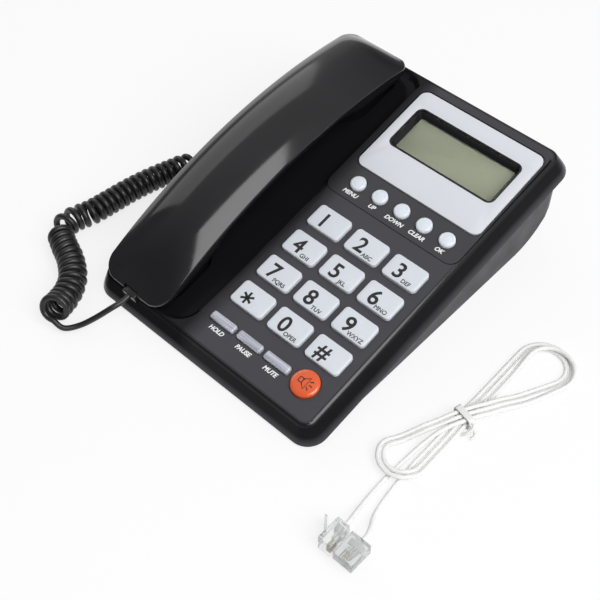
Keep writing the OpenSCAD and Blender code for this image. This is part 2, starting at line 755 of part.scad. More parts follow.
module handset_jack() {
    color([0.12, 0.12, 0.13]) on_handset() difference() {
        translate([0, hs_jack_at + hs_jack_deep / 2, hs_jack_n])
            cube([hplug_w + 1.6, hs_jack_deep, hs_jack_room], center = true);
        translate([0, hs_jack_at + hs_jack_deep / 2 - 1.2, hs_jack_n])
            cube([hplug_w + 2 * fit, hs_jack_deep, plug_t + 2 * fit], center = true);
    }
}

// Jacks and plugs

// Socket block with its mouth towards -Y and its back at jack_deep
module socket(w) {
    outer = [w + 2 * jack_wall, jack_deep, jack_high];
    difference() {
        translate([-outer[0] / 2, 0, -outer[2] / 2]) cube(outer);
        translate([0, (jack_deep - jack_wall) / 2 - 1, 0])
            cube([w + 2 * fit, jack_deep - jack_wall + 2, plug_t + 2 * fit], center = true);
        translate([0, (jack_deep - jack_wall) / 2 - 1, plug_t / 2])
            cube([w / 2, jack_deep - jack_wall + 2, 3.2], center = true);
    }
}

module line_jack() {
    color([0.10, 0.10, 0.11]) translate([line_jack_x, low_rear - 0.8, line_jack_z])
        rotate([0, 0, 180]) socket(lplug_w);
}

module handset_cord_jack() {
    color([0.10, 0.10, 0.11]) translate([-low_w / 2 + 0.3, base_jack_y, base_jack_z])
        rotate([0, 0, -90]) socket(hplug_w);
}

// Modular plug: cord side at y 0, nose towards +Y, latch on top
module modular_plug(w, latch_rise) {
    translate([0, plug_l / 2, 0]) difference() {
        cube([w, plug_l, plug_t], center = true);
        translate([0, plug_l / 2, plug_t / 2]) cube([w - 2, 5, 1.4], center = true);
        translate([0, plug_l / 2, -plug_t / 2]) cube([w - 1.6, 4.4, 1], center = true);
    }
    rotate([90, 0, 90]) linear_extrude(3, center = true) polygon([[plug_l - 2.6, plug_t / 2 - 0.9],
        [plug_l - 2.6, plug_t / 2 - 0.2], [plug_l - 4, plug_t / 2 + 0.6], [1.4, plug_t / 2 + latch_rise],
        [1.2, plug_t / 2 + latch_rise - 0.7], [plug_l - 4.2, plug_t / 2 - 0.3],
        [plug_l - 4.4, plug_t / 2 - 0.9]]);
}

module handset_cord_base_plug() {
    color([0.12, 0.12, 0.13]) translate([base_plug_x, base_jack_y, base_jack_z])
        rotate([0, 0, -90]) modular_plug(hplug_w, 1.1);
}

module handset_cord_plug() {
    color([0.12, 0.12, 0.13]) on_handset() translate([0, -plug_out, hs_jack_n])
        difference() {
            translate([0, plug_l / 2, 0]) cube([hplug_w, plug_l, plug_t], center = true);
            translate([0, plug_l, -plug_t / 2]) cube([hplug_w - 1.6, 5, 1], center = true);
        }
}

module line_plug_a() {
    color([0.86, 0.88, 0.88]) translate([plug_a_at[0], plug_a_at[1], lplug_w / 2])
        rotate([0, 0, 180]) rotate([0, 90, 0]) modular_plug(lplug_w, 4);
}

module line_plug_b() {
    color([0.86, 0.88, 0.88]) translate([plug_b_at[0], plug_b_at[1], plug_b_lift + plug_t / 2])
        rotate([0, 0, 180]) rotate([0, 180, 0]) modular_plug(lplug_w, plug_b_lift);
}

// Handset cord

curl_axis = curve(curl_route, 10);
curl_heads = headings(curl_axis);
curl_steps = [for (i = [0:len(curl_axis) - 2]) norm(curl_axis[i + 1] - curl_axis[i])];

// Turns per step: the curls open in a bend, so that they keep their gap on its inside
curl_turns = totals([for (i = [0:len(curl_steps) - 1])
    let (bend = norm(curl_heads[i + 1] - curl_heads[i]) / curl_steps[i])
    360 * curl_steps[i] * (1 - (curl_r + curl_open / 4) * bend) / (cord_d + curl_gap)]);
curl_total = curl_turns[len(curl_turns) - 1];
curl_count = floor(curl_total / 45);

// Value along the line of curls at one turn
function along(list, axis, turn) = lookup(turn, [for (i = [0:len(list) - 1]) [curl_turns[i], list[i][axis]]]);
function curl_point(turn) = let (
    mid = [for (a = [0:2]) along(curl_axis, a, turn)],
    head = unit([for (a = [0:2]) along(curl_heads, a, turn)]),
    side = unit(cross([0, 0, 1], head)),
    r = (curl_r + curl_open / 2 * pow(turn / curl_total, 2.5)) * smooth(turn / curl_ramp),
    phase = turn - curl_total + curl_end)
    mid + r * (side * cos(phase) + cross(head, side) * sin(phase));

// Where the tail enters the plug on the handset, and its heading there
function panel_point(p) = [p[0], panel_y + p[1] * cos(slope) - p[2] * sin(slope),
    panel_z + p[1] * sin(slope) + p[2] * cos(slope)];

curls = [for (i = [1:curl_count]) curl_point(curl_total * i / curl_count)];
cord_end = panel_point([hs_x, hs_front - plug_out, hs_jack_n]);
cord_run = panel_point([hs_x, hs_front - plug_out - 1.2 * cord_d, hs_jack_n]);
lead = curve(lead_route, 3);
last = len(curls) - 1;
tail = curve(concat([curls[last - 1], curls[last]], tail_route, [cord_run]), 3);
handset_cord_line = concat([lead[0]], [for (i = [3:len(lead) - 1]) lead[i]], curls,
    [for (i = [4:len(tail) - 1]) tail[i]], [cord_end]);

module handset_cord() {
    echo(handset_cord_curls = curl_total / 360, handset_cord_gap = least_gap(handset_cord_line, cord_d, 6),
        handset_cord_length = line_length(handset_cord_line));
    color([0.08, 0.08, 0.09]) tube(handset_cord_line, cord_d);
}

// Line cord

// Half of the eight: h counts halves, odd ones below, u runs from crossing to crossing
// It gives [along, across] and the heading
function half_eight(h, u) = let (
    low = h % 2, r = low == 1 ? hank_low_r : hank_up_r, far = low == 1 ? hank_low : hank_up,
    run = sqrt(far * far - r * r), bend = 180 + 2 * hank_lean,
    arc = u < 0.3 ? 0 : u > 0.7 ? 1 : (u - 0.3) / 0.4,
    a = bend * arc - hank_lean, out = u < 0.3 ? run * u / 0.3 : run * (1 - u) / 0.3,
    p = arc == 0 ? [out * cos(hank_lean), out * sin(hank_lean)]
        : arc == 1 ? [out * cos(hank_lean), -out * sin(hank_lean)]
        : [far + r * sin(a), r * cos(a)],
    head = arc == 0 ? [cos(hank_lean), sin(hank_lean)] : arc == 1 ? [-cos(hank_lean), sin(hank_lean)]
        : [cos(a), -sin(a)])
    low == 1 ? [[-p[0], p[1]], [-head[0], head[1]]] : [p, head];

// Strand at one half and place: shifted sideways a strand each turn, and lifted where it crosses
function strand(h, u) = let (
    q = half_eight(h, u), move = smooth((u - 0.3) / 0.4),
    over = (h % 2 == 0) == (u < 0.5), away = norm(q[0]),
    lane = strand_step * (hank_lanes[h] * (1 - move) + hank_lanes[h + 1] * move), mid = abs(u - 0.5),
    p = q[0] + lane * [q[1][1], -q[1][0]],
    lift = tie_lift * smooth((14 - away) / 11) + (over ? strand_step * smooth((30 - away) / 16) : 0)
        + (h % 2 == 1 ? strand_step * smooth((0.24 - mid) / 0.12)
        : h == 0 ? strand_step * smooth((0.3 - mid) / 0.12) : 0),
    flat = turned([p[1], p[0]], -hank_turn))
    [hank_mid[0] + flat[0], hank_mid[1] + flat[1], line_low + lift];

loops = [for (h = [0:hank_halves - 1], i = [0:hank_rings - 1]) strand(h, i / hank_rings)];
line_start = curve(concat(tail_a, [loops[0], loops[1]]), 2);
line_finish = curve(concat([loops[len(loops) - 1], strand(hank_halves - 1, 1)], tail_b), 2);
line_cord_line = concat([[plug_a_at[0], plug_a_at[1], lplug_w / 2]],
    [for (i = [0:len(line_start) - 3]) line_start[i]], [for (i = [1:len(loops) - 1]) loops[i]],
    [for (i = [1:len(line_finish) - 1]) line_finish[i]],
    [[plug_b_at[0], plug_b_at[1], plug_b_lift + plug_t / 2]]);

module line_cord() {
    echo(line_cord_gap = least_gap(line_cord_line, line_d, 4),
        line_cord_length = line_length(line_cord_line));
    color([0.90, 0.90, 0.88]) tube(line_cord_line, line_d);
}

module line_cord_tie() {
    w = 2 * (strand_step + line_d / 2) + 1.6;
    low = line_low + tie_lift - line_d / 2 - 0.2;
    high = line_low + tie_lift + strand_step + line_d / 2 + 0.2;
    color([0.93, 0.93, 0.92]) translate([hank_mid[0], hank_mid[1], 0]) rotate([0, 0, -hank_turn]) {
        rotate([90, 0, 0]) linear_extrude(tie_band, center = true) difference() {
            translate([0, (low + high) / 2]) polygon(rounded(w + 2 * tie_t, high - low + 2 * tie_t, 1.6));
            translate([0, (low + high) / 2]) polygon(rounded(w, high - low, 0.9));
        }
        translate([w / 2 + tie_t - eps, 0, high / 2]) rotate([0, 90, -35]) cylinder(h = 6, d = 2.4);
    }
}

top_shell();
bottom_shell();
display_housing();
display_plate();
display_window();
lcd_panel();
display_board();
main_board();
keypad_mat();
loudspeaker();
line_jack();
handset_cord_jack();
hook_switch();
rubber_feet();
case_screws();
hook_plunger();
handset_upper_shell();
handset_lower_shell();
earpiece_capsule();
microphone_capsule();
handset_weight();
handset_jack();
for (i = [0:11]) dial_key(i);
for (i = [0:2]) slim_key(i);
loudspeaker_key();  // key_loudspeaker
for (i = [0:4]) round_key(i);
handset_cord();
handset_cord_base_plug();
handset_cord_plug();
line_cord();
line_cord_tie();
line_plug_a();
line_plug_b();
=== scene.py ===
import bpy, bmesh, math
from mathutils import Matrix, Vector


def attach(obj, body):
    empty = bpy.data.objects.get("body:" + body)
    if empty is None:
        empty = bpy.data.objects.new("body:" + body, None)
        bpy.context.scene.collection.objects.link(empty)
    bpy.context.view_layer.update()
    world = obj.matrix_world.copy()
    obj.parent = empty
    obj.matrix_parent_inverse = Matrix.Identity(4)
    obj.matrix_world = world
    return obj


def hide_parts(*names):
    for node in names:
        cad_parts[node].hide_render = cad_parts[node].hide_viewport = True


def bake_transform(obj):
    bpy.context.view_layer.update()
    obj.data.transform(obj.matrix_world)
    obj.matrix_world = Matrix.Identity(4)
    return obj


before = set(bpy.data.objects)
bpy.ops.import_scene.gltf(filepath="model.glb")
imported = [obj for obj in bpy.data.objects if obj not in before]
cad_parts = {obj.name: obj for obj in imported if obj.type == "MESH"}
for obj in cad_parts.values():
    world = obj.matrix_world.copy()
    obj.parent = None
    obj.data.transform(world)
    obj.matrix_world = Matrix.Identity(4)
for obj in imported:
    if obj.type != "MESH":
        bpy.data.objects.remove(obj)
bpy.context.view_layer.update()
scene = bpy.context.scene
scene.view_settings.view_transform = "Standard"
mm = 0.001


# places: shapes are drawn in millimetres on the table, the sloping panel, the display block or the handset
caseForm = dict(slope=11, panelY=-2.0416, panelZ=29.2055, blockV=9.5, blockH=0.3, blockTilt=1.5,
                handsetX=-42.5, handsetV=-87.75)

def moved(x, y, z=0):
    return Matrix.Translation((x, y, z))

def turned(degrees, axis):
    return Matrix.Rotation(math.radians(degrees), 4, axis)

table = Matrix.Scale(mm, 4)
panel = table @ moved(0, caseForm["panelY"], caseForm["panelZ"]) @ turned(caseForm["slope"], "X")
block = panel @ moved(0, caseForm["blockV"], caseForm["blockH"]) @ turned(caseForm["blockTilt"], "X")
handset = panel @ moved(caseForm["handsetX"], caseForm["handsetV"])
slope = math.radians(caseForm["slope"])
panelUp = Vector((0, -math.sin(slope), math.cos(slope)))


# camera at the photograph's place
cameraView = dict(eye=(0.2253, -0.2688, 0.3995), azimuth=42.58, elevation=51.18, lens=66.98, near=0.01)

def placeCamera(view):
    az, el = math.radians(view["azimuth"]), math.radians(view["elevation"])
    back = Vector((math.sin(az) * math.cos(el), -math.cos(az) * math.cos(el), math.sin(el)))
    right = Vector((math.cos(az), math.sin(az), 0))
    up = back.cross(right)
    camera = bpy.data.objects.new("camera", bpy.data.cameras.new("camera"))
    camera.data.lens = view["lens"]
    camera.data.clip_start = view["near"]
    scene.collection.objects.link(camera)
    turn = Matrix((right, up, back)).transposed().to_4x4()
    camera.matrix_world = Matrix.Translation(view["eye"]) @ turn
    scene.camera = camera

placeCamera(cameraView)
print("camera placed")


# finishes; the node helpers serve the world too
noiseRange = (0.3, 0.7)       # most of a noise texture's values lie in here

def shaderOf(finish):
    return finish.node_tree.nodes["Principled BSDF"]

def newFinish(name, colour, rough, **sockets):
    finish = bpy.data.materials.new(name)
    finish.use_nodes = True
    shader = shaderOf(finish)
    shader.inputs["Base Color"].default_value = (*colour, 1)
    shader.inputs["Roughness"].default_value = rough
    for socket, value in sockets.items():
        shader.inputs[socket.replace("_", " ")].default_value = value
    return finish

def addNode(finish, kind, **settings):
    node = finish.node_tree.nodes.new(kind)
    for key, value in settings.items():
        socket = key.replace("_", " ")
        if socket in node.inputs:
            node.inputs[socket].default_value = value
        else:
            setattr(node, key, value)
    return node

def wire(finish, source, target):
    finish.node_tree.links.new(source, target)

def feed(finish, source, socket):
    wire(finish, source, shaderOf(finish).inputs[socket])

def objectCoords(finish):
    return addNode(finish, "ShaderNodeTexCoord").outputs["Object"]

def turnedCoords(finish, tilt, scale=(1, 1, 1)):
    node = addNode(finish, "ShaderNodeMapping", Rotation=(math.radians(-tilt), 0, 0), Scale=scale)
    wire(finish, objectCoords(finish), node.inputs["Vector"])
    return node.outputs["Vector"]

def noiseOf(finish, scale, detail=3):
    noise = addNode(finish, "ShaderNodeTexNoise", Scale=scale, Detail=detail)
    wire(finish, objectCoords(finish), noise.inputs["Vector"])
    return noise.outputs["Fac"]

def span(finish, value, fromLow, fromHigh, low, high, ease="LINEAR"):
    node = addNode(finish, "ShaderNodeMapRange", interpolation_type=ease,
                   From_Min=fromLow, From_Max=fromHigh, To_Min=low, To_Max=high)
    wire(finish, value, node.inputs["Value"])
    return node.outputs["Result"]

def combine(finish, operation, first, second):
    node = addNode(finish, "ShaderNodeMath", operation=operation)
    wire(finish, first, node.inputs[0])
    wire(finish, second, node.inputs[1])
    return node.outputs["Value"]

def ramp(finish, value, *stops):
    node = addNode(finish, "ShaderNodeValToRGB")
    for mark, (place, colour) in zip(node.color_ramp.elements, stops):
        mark.position = place
        mark.color = (*colour, 1)
    wire(finish, value, node.inputs["Fac"])
    return node.outputs["Color"]

def tint(colour, share):
    return tuple(min(1, c * share) for c in colour)

def roughen(finish, scale, low, high):
    feed(finish, span(finish, noiseOf(finish, scale), *noiseRange, low, high), "Roughness")

def mottle(finish, colour, scale, share):
    stops = zip(noiseRange, (tint(colour, 1 - share), tint(colour, 1 + share)))
    feed(finish, ramp(finish, noiseOf(finish, scale), *stops), "Base Color")

def grain(finish, scale, depth, strength):
    bump = addNode(finish, "ShaderNodeBump", Strength=strength, Distance=depth)
    wire(finish, noiseOf(finish, scale, 2), bump.inputs["Height"])
    feed(finish, bump.outputs["Normal"], "Normal")

# moulded plastic: fine grain, a little colour drift and uneven gloss
mouldLook = dict(driftScale=45, glossScale=90, glossLow=0.85, glossHigh=1.2)

def moulded(name, colour, rough, grainScale, grainDepth, strength, drift=0.06, **sockets):
    look = mouldLook
    finish = newFinish(name, colour, rough, **sockets)
    mottle(finish, colour, look["driftScale"], drift)
    roughen(finish, look["glossScale"], rough * look["glossLow"], rough * look["glossHigh"])
    grain(finish, grainScale, grainDepth, strength)
    return finish

handsetGloss = moulded("handsetGloss", (0.009, 0.009, 0.0105), 0.12, 900, 0.000004, 0.25, 0.1, IOR=1.5)
lowerGrey = moulded("lowerGrey", (0.040, 0.0395, 0.044), 0.42, 1800, 0.00004, 0.5, Specular_IOR_Level=0.2)
jackBlack = moulded("jackBlack", (0.012, 0.012, 0.013), 0.35, 1500, 0.00001, 0.3)
footRubber = moulded("footRubber", (0.018, 0.018, 0.018), 0.75, 1200, 0.00008, 0.6, 0.12)
cordBlack = moulded("cordBlack", (0.0125, 0.0125, 0.014), 0.34, 2200, 0.00001, 0.35, 0.12)
plugBlack = moulded("plugBlack", (0.011, 0.011, 0.012), 0.22, 1400, 0.000006, 0.3)
keyWhite = moulded("keyWhite", (0.70, 0.71, 0.76), 0.24, 700, 0.000004, 0.3, 0.015, Subsurface_Weight=0.08)
keyPearl = moulded("keyPearl", (0.78, 0.79, 0.85), 0.26, 700, 0.000004, 0.3, 0.02, Subsurface_Weight=0.1)
keyOrange = moulded("keyOrange", (0.74, 0.105, 0.022), 0.2, 800, 0.000004, 0.3, 0.05, Coat_Weight=0.6)
cordWhite = moulded("cordWhite", (0.83, 0.83, 0.825), 0.4, 1800, 0.00001, 0.3, 0.02)
tieWhite = moulded("tieWhite", (0.78, 0.78, 0.77), 0.45, 1200, 0.00003, 0.4, 0.03)
matRubber = moulded("matRubber", (0.28, 0.29, 0.30), 0.6, 900, 0.00004, 0.4)
plateSilver = moulded("plateSilver", (0.68, 0.70, 0.745), 0.50, 3200, 0.000005, 0.25, 0.012,
                      Specular_IOR_Level=0.25)
trimBlack = moulded("trimBlack", (0.006, 0.006, 0.007), 0.25, 1500, 0.000004, 0.2, 0.1)
inkBlack = moulded("inkBlack", (0.012, 0.012, 0.014), 0.4, 2000, 0.000004, 0.2, 0.1)
inkWhite = moulded("inkWhite", (0.86, 0.86, 0.87), 0.45, 2000, 0.000004, 0.2, 0.02)
screwSteel = moulded("screwSteel", (0.52, 0.52, 0.50), 0.3, 1500, 0.00001, 0.3, 0.08, Metallic=1.0)
speakerMetal = moulded("speakerMetal", (0.09, 0.09, 0.095), 0.5, 700, 0.00004, 0.4, 0.1, Metallic=0.4)
capsuleMetal = moulded("capsuleMetal", (0.45, 0.45, 0.46), 0.35, 900, 0.00001, 0.3, Metallic=0.9)
weightSteel = moulded("weightSteel", (0.36, 0.36, 0.37), 0.45, 600, 0.00003, 0.4, 0.12, Metallic=0.9)
contactGold = moulded("contactGold", (0.66, 0.60, 0.48), 0.22, 1500, 0.000004, 0.2, Metallic=1.0)
plugClear = newFinish("plugClear", (0.86, 0.88, 0.88), 0.2, Transmission_Weight=0.8, IOR=1.48)
roughen(plugClear, 300, 0.12, 0.26)
windowClear = newFinish("windowClear", (0.96, 0.97, 0.97), 0.03, Transmission_Weight=1.0, IOR=1.2)
roughen(windowClear, 60, 0.02, 0.06)

# panel: satin charcoal on the face and on the lip under the walls; on walls, rim and trough a gloss whose
# colour is darkened to near-black, painted shade and dark reflection
panelLook = dict(
    facing=(0.985, 0.995),           # how squarely a face looks up before it counts as the panel
    step=(0.0006, 0.0003),           # how far under the panel's level it stops counting
    # painted shade: over this x span the panel's colour darkens towards the handset's trough
    trough=(-0.0125, -0.003), troughPaintedShade=0.2,
    lip=(0.0105, 0.0065), lipShine=0.2,
    drift=0.93, driftScale=40, rough=(0.14, 0.40), uneven=(-0.03, 0.04), unevenScale=120,
    shineFacing=(0.45, 0.8), shine=(0.05, 0.5), grain=(2600, 0.000012, 0.35))

def alongUp(finish, vector):
    node = addNode(finish, "ShaderNodeVectorMath", operation="DOT_PRODUCT")
    node.inputs[1].default_value = panelUp
    wire(finish, vector, node.inputs[0])
    return node.outputs["Value"]

def panelFinish(name, face, wall, level):
    look = panelLook
    finish = newFinish(name, face, 0.35)
    facing = alongUp(finish, addNode(finish, "ShaderNodeNewGeometry").outputs["True Normal"])
    height = alongUp(finish, objectCoords(finish))
    split = addNode(finish, "ShaderNodeSeparateXYZ")
    wire(finish, objectCoords(finish), split.inputs["Vector"])
    isFace = span(finish, facing, *look["facing"], 0, 1)
    isHigh = span(finish, height, *(level - step for step in look["step"]), 0, 1)
    # painted shade of the handset: the face's colour, and its shine, fall away towards the trough
    paintedTroughShade = span(finish, split.outputs["X"], *look["trough"], look["troughPaintedShade"], 1)
    isPanel = combine(finish, "MULTIPLY", combine(finish, "MULTIPLY", isFace, isHigh), paintedTroughShade)
    isLip = span(finish, height, *(level - step for step in look["lip"]), 1, 0)
    # walls, rim and trough take the near-black colour: painted shade
    zones = ramp(finish, combine(finish, "MAXIMUM", isPanel, isLip), (0, wall), (1, face))
    stops = zip(noiseRange, ((look["drift"],) * 3, (1, 1, 1)))
    drift = ramp(finish, noiseOf(finish, look["driftScale"]), *stops)
    blend = addNode(finish, "ShaderNodeMix", data_type="RGBA", blend_type="MULTIPLY", Factor=1)
    wire(finish, zones, blend.inputs[6])           # 6, 7 and 2 are the sockets for colours
    wire(finish, drift, blend.inputs[7])
    feed(finish, blend.outputs[2], "Base Color")
    rough = span(finish, isPanel, 0, 1, *look["rough"])
    uneven = span(finish, noiseOf(finish, look["unevenScale"]), *noiseRange, *look["uneven"])
    feed(finish, combine(finish, "ADD", rough, uneven), "Roughness")
    shine = combine(finish, "MULTIPLY", span(finish, facing, *look["shineFacing"], *look["shine"]), paintedTroughShade)
    lipShine = span(finish, isLip, 0, 1, 0, look["lipShine"])
    feed(finish, combine(finish, "ADD", shine, lipShine), "Specular IOR Level")
    grain(finish, *look["grain"])
    return finish

panelLevel = (panel @ Vector((0, 0, 0))).dot(panelUp)
blockLevel = panelLevel + 0.0001
# the second colour, near-black, is painted shade on the walls, rim and trough
caseCharcoal = panelFinish("caseCharcoal", (0.046, 0.045, 0.054), (0.008, 0.008, 0.0095), panelLevel)
blockCharcoal = panelFinish("blockCharcoal", (0.041, 0.0405, 0.048), (0.009, 0.009, 0.0105), blockLevel)

def bricks(finish, coords, colours, **settings):
    node = addNode(finish, "ShaderNodeTexBrick", **settings)
    for name, colour in zip(("Color1", "Color2", "Mortar"), colours):
        node.inputs[name].default_value = (*colour, 1)
    wire(finish, coords, node.inputs["Vector"])
    feed(finish, node.outputs["Color"], "Base Color")

# display glass: pale grey-green with faint cells
def lcdFinish():
    finish = newFinish("lcdGlass", (0.54, 0.58, 0.43), 0.35)
    coords = turnedCoords(finish, caseForm["slope"] + caseForm["blockTilt"])
    bricks(finish, coords, ((0.543, 0.583, 0.433), (0.535, 0.575, 0.426), (0.55, 0.59, 0.44)),
           offset=0, Scale=160, Mortar_Size=0.05)
    roughen(finish, 80, 0.28, 0.4)
    return finish

# circuit board: green lacquer over paler tracks
def boardFinish():
    finish = newFinish("boardGreen", (0.035, 0.10, 0.03), 0.4)
    bricks(finish, objectCoords(finish), ((0.03, 0.09, 0.028), (0.04, 0.11, 0.032), (0.09, 0.17, 0.06)),
           Scale=120)
    roughen(finish, 150, 0.3, 0.45)
    return finish

# slim keys: clear bars; lengthwise light and dark streaks in their colour are painted reflections
def barFinish():
    finish = newFinish("keyBar", (0.50, 0.52, 0.60), 0.18, Coat_Weight=0.4)
    paintedReflectionStreaks = addNode(finish, "ShaderNodeTexNoise", Scale=1, Detail=3)
    wire(finish, turnedCoords(finish, caseForm["slope"], (40, 1100, 40)), paintedReflectionStreaks.inputs["Vector"])
    # painted reflections: the colour runs light and dark along the bar
    colour = ramp(finish, paintedReflectionStreaks.outputs["Fac"], (0.35, (0.29, 0.30, 0.36)), (0.65, (0.58, 0.60, 0.68)))
    feed(finish, colour, "Base Color")
    roughen(finish, 90, 0.14, 0.22)
    return finish

lcdGlass = lcdFinish()
keyBar = barFinish()
boardGreen = boardFinish()
print("finishes ready")


# piece helpers
def newPiece(name, bm, body, finish, nodes=(), sharp=35, place=None):
    if place is not None:
        bmesh.ops.transform(bm, matrix=place, verts=bm.verts)
    mesh = bpy.data.meshes.new(name)
    bm.to_mesh(mesh)
    bm.free()
    mesh.materials.append(finish)
    mesh.shade_smooth()
    mesh.set_sharp_from_angle(angle=math.radians(sharp))
    piece = bpy.data.objects.new(name, mesh)
    scene.collection.objects.link(piece)
    if body:
        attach(piece, body)
    if nodes:
        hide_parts(*nodes)
    return piece

def bevelEdges(bm, edges, offset, segments):
    return bmesh.ops.bevel(bm, geom=list(edges), offset=offset, offset_type="OFFSET", affect="EDGES",
                           segments=segments, profile=0.5, material=-1, clamp_overlap=True)

def tidyShape(bm, near=0.001):
    bmesh.ops.remove_doubles(bm, verts=bm.verts, dist=near)
    bmesh.ops.recalc_face_normals(bm, faces=bm.faces)

def addBox(bm, size, centre, turn=None):
    place = Matrix.Translation(centre) @ (turn or Matrix()) @ Matrix.Diagonal((*size, 1))
    return bmesh.ops.create_cube(bm, size=1, matrix=place)["verts"]

def edgesOf(verts):
    return list(dict.fromkeys(e for v in verts for e in v.link_edges))     # each edge once

def uprights(edges):
    return [e for e in edges if abs(e.verts[0].co.z - e.verts[1].co.z) > 0.1]

# a profile of (radius, height) turned round the upright axis
def turnProfile(bm, profile, steps):
    verts = [bm.verts.new((r, 0, z)) for r, z in profile]
    edges = [bm.edges.new(pair) for pair in zip(verts, verts[1:])]
    bmesh.ops.spin(bm, geom=verts + edges, cent=(0, 0, 0), axis=(0, 0, 1), angle=2 * math.pi, steps=steps,
                   use_merge=True)
    tidyShape(bm)

# a grid drawn over a shape: rows run along it, columns across it
def loftGrid(bm, rows, columns, shape):
    for v in bmesh.ops.create_grid(bm, x_segments=rows, y_segments=columns, size=1)["verts"]:
        v.co = shape((v.co.x + 1) / 2, (v.co.y + 1) / 2)


# cords: the routes are those of the solids, with the last curls by the handset moved a little
def smooth(x):
    c = min(max(x, 0), 1)
    return c * c * (3 - 2 * c)

def between(a, b, c, d, t):
    square, cube = 2 * a - 5 * b + 4 * c - d, 3 * b - a - 3 * c + d
    return (2 * b + (c - a) * t + square * t ** 2 + cube * t ** 3) / 2

def curveThrough(points, steps):
    p = [Vector(q) for q in points]
    n = len(p) - 1
    line = [between(p[max(i - 1, 0)], p[i], p[i + 1], p[min(i + 2, n)], j / steps)
            for i in range(n) for j in range(steps)]
    return line + [p[n]]

def headingsOf(line):
    n = len(line) - 1
    return [(line[min(i + 1, n)] - line[max(i - 1, 0)]).normalized() for i in range(n + 1)]

def lengthOf(line):
    return sum((b - a).length for a, b in zip(line, line[1:]))

# a round tube along a line; radius may change from ring to ring
def tubeAlong(bm, line, sides, radius):
    heads = headingsOf(line)
    side = heads[0].cross(Vector((0, 0, 1))).normalized()
    frames = []
    for head in heads:
        side = (side - head * side.dot(head)).normalized()
        frames.append((side, head.cross(side)))
    last = len(line) - 1
    def skin(a, b):
        i = round(a * last)
        angle = 2 * math.pi * b
        return line[i] + (frames[i][0] * math.cos(angle) + frames[i][1] * math.sin(angle)) * radius(i)
    loftGrid(bm, last, sides, skin)
    bmesh.ops.remove_doubles(bm, verts=bm.verts, dist=0.0001)
    bmesh.ops.holes_fill(bm, edges=[e for e in bm.edges if e.is_boundary], sides=sides)
    bmesh.ops.recalc_face_normals(bm, faces=bm.faces)

handsetCord = dict(
    diameter=2.9, sides=12, steps=6,
    swell=1.08, thin=0.93, swellFrom=20, swellOver=30, swellEnd=8, tailRings=30,     # counted in rings
    curlOutside=12.2, curlGap=0.45, ringsPerCurl=24, axisSteps=10,
    curlOpen=1.7, openPower=2.5,                                   # the curls open towards the handset
    windUp=18, windPace=0.3, rampTurns=540, endTurn=270,           # how the winding starts and ends
    lead=[(-68.4, 30, 12), (-71.9, 30, 12), (-78, 29, 11), (-83, 24, 9), (-85.5, 16, 7.4), (-86.8, 8, 6.5),
          (-87.6, 0, 6.2)],
    curls=[(-87.6, 0, 6.2), (-90.6, -14.4, 6.2), (-94.6, -28.4, 6.2), (-97.1, -41.4, 6.2),
           (-98.3, -53.2, 6.3), (-99.6, -64, 6.4), (-102.3, -74, 6.5), (-100.5, -82, 6.6),
           (-93, -86.5, 6.7), (-83.5, -90.5, 6.8), (-74, -97, 7.1), (-68.5, -104.4, 7.6),
           (-65.5, -111.4, 8.8), (-63.2, -116.8, 11)],
    tail=[(-57.2, -117.2, 3.2), (-53, -111.4, 3.4), (-48.4, -105.2, 7.2), (-44.2, -99.2, 11.8)],
    plugEnd=(-42.5, -89.35, 1.5), runIn=1.2,
    blendStart=(-0.100, -0.078, 0.006), blendEnd=(-0.060, -0.110, 0.006))

def panelPoint(u, v, n):
    return (panel @ Vector((u, v, n))) / mm

# degrees turned at each point of the curls' axis; on a bend a curl gets more room, for its inner side
def windingOf(cord, axis, heads, curlR):
    turns, run = [0], 0
    for i in range(len(axis) - 1):
        step = (axis[i + 1] - axis[i]).length
        bend = (heads[i + 1] - heads[i]).xy.length / step
        share = 1 - (curlR + cord["curlOpen"] / 4) * bend
        pace = cord["windPace"] + (1 - cord["windPace"]) * smooth(run / cord["windUp"])
        turns.append(turns[-1] + 360 * step * share * pace / (cord["diameter"] + cord["curlGap"]))
        run += step
    return turns

def curlsOf(cord):
    curlR = (cord["curlOutside"] - cord["diameter"]) / 2
    axis = curveThrough(cord["curls"], cord["axisSteps"])
    heads = headingsOf(axis)
    turns = windingOf(cord, axis, heads, curlR)
    total = turns[-1]
    count = round(total / 360 * cord["ringsPerCurl"])
    curls, i = [], 0
    for k in range(1, count + 1):
        turn = total * k / count
        while i < len(turns) - 2 and turns[i + 1] < turn:
            i += 1
        t = (turn - turns[i]) / (turns[i + 1] - turns[i])
        mid = axis[i].lerp(axis[i + 1], t)
        head = heads[i].lerp(heads[i + 1], t).normalized()
        side = Vector((0, 0, 1)).cross(head).normalized()
        opened = cord["curlOpen"] / 2 * (turn / total) ** cord["openPower"]
        r = (curlR + opened) * smooth(turn / cord["rampTurns"])
        phase = math.radians(turn - total + cord["endTurn"])
        curls.append(mid + (side * math.cos(phase) + head.cross(side) * math.sin(phase)) * r)
    return curls

def handsetCordLine(cord):
    curls, steps = curlsOf(cord), cord["steps"]
    u, v, n = cord["plugEnd"]
    runIn = panelPoint(u, v - cord["runIn"] * cord["diameter"], n)
    lead = curveThrough(cord["lead"], steps)
    eighth = cord["ringsPerCurl"] // 8
    tail = curveThrough([curls[-1 - eighth], curls[-1]] + cord["tail"] + [runIn], steps)
    return [lead[0]] + lead[steps:] + curls + tail[steps + 1:] + [panelPoint(u, v, n)]

def makeHandsetCord(cord):
    line = handsetCordLine(cord)
    plain = len(line) - cord["tailRings"]
    full, thin = cord["diameter"] / 2 * cord["swell"], cord["diameter"] / 2 * cord["thin"]
    def radius(i):
        share = smooth((i - cord["swellFrom"]) / cord["swellOver"]) * smooth((plain - i) / cord["swellEnd"])
        return thin + (full - thin) * share
    bm = bmesh.new()
    tubeAlong(bm, line, cord["sides"], radius)
    piece = newPiece("handsetCord", bm, None, cordBlack, ["handset_cord"], 60, table)
    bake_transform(piece)
    return piece, line

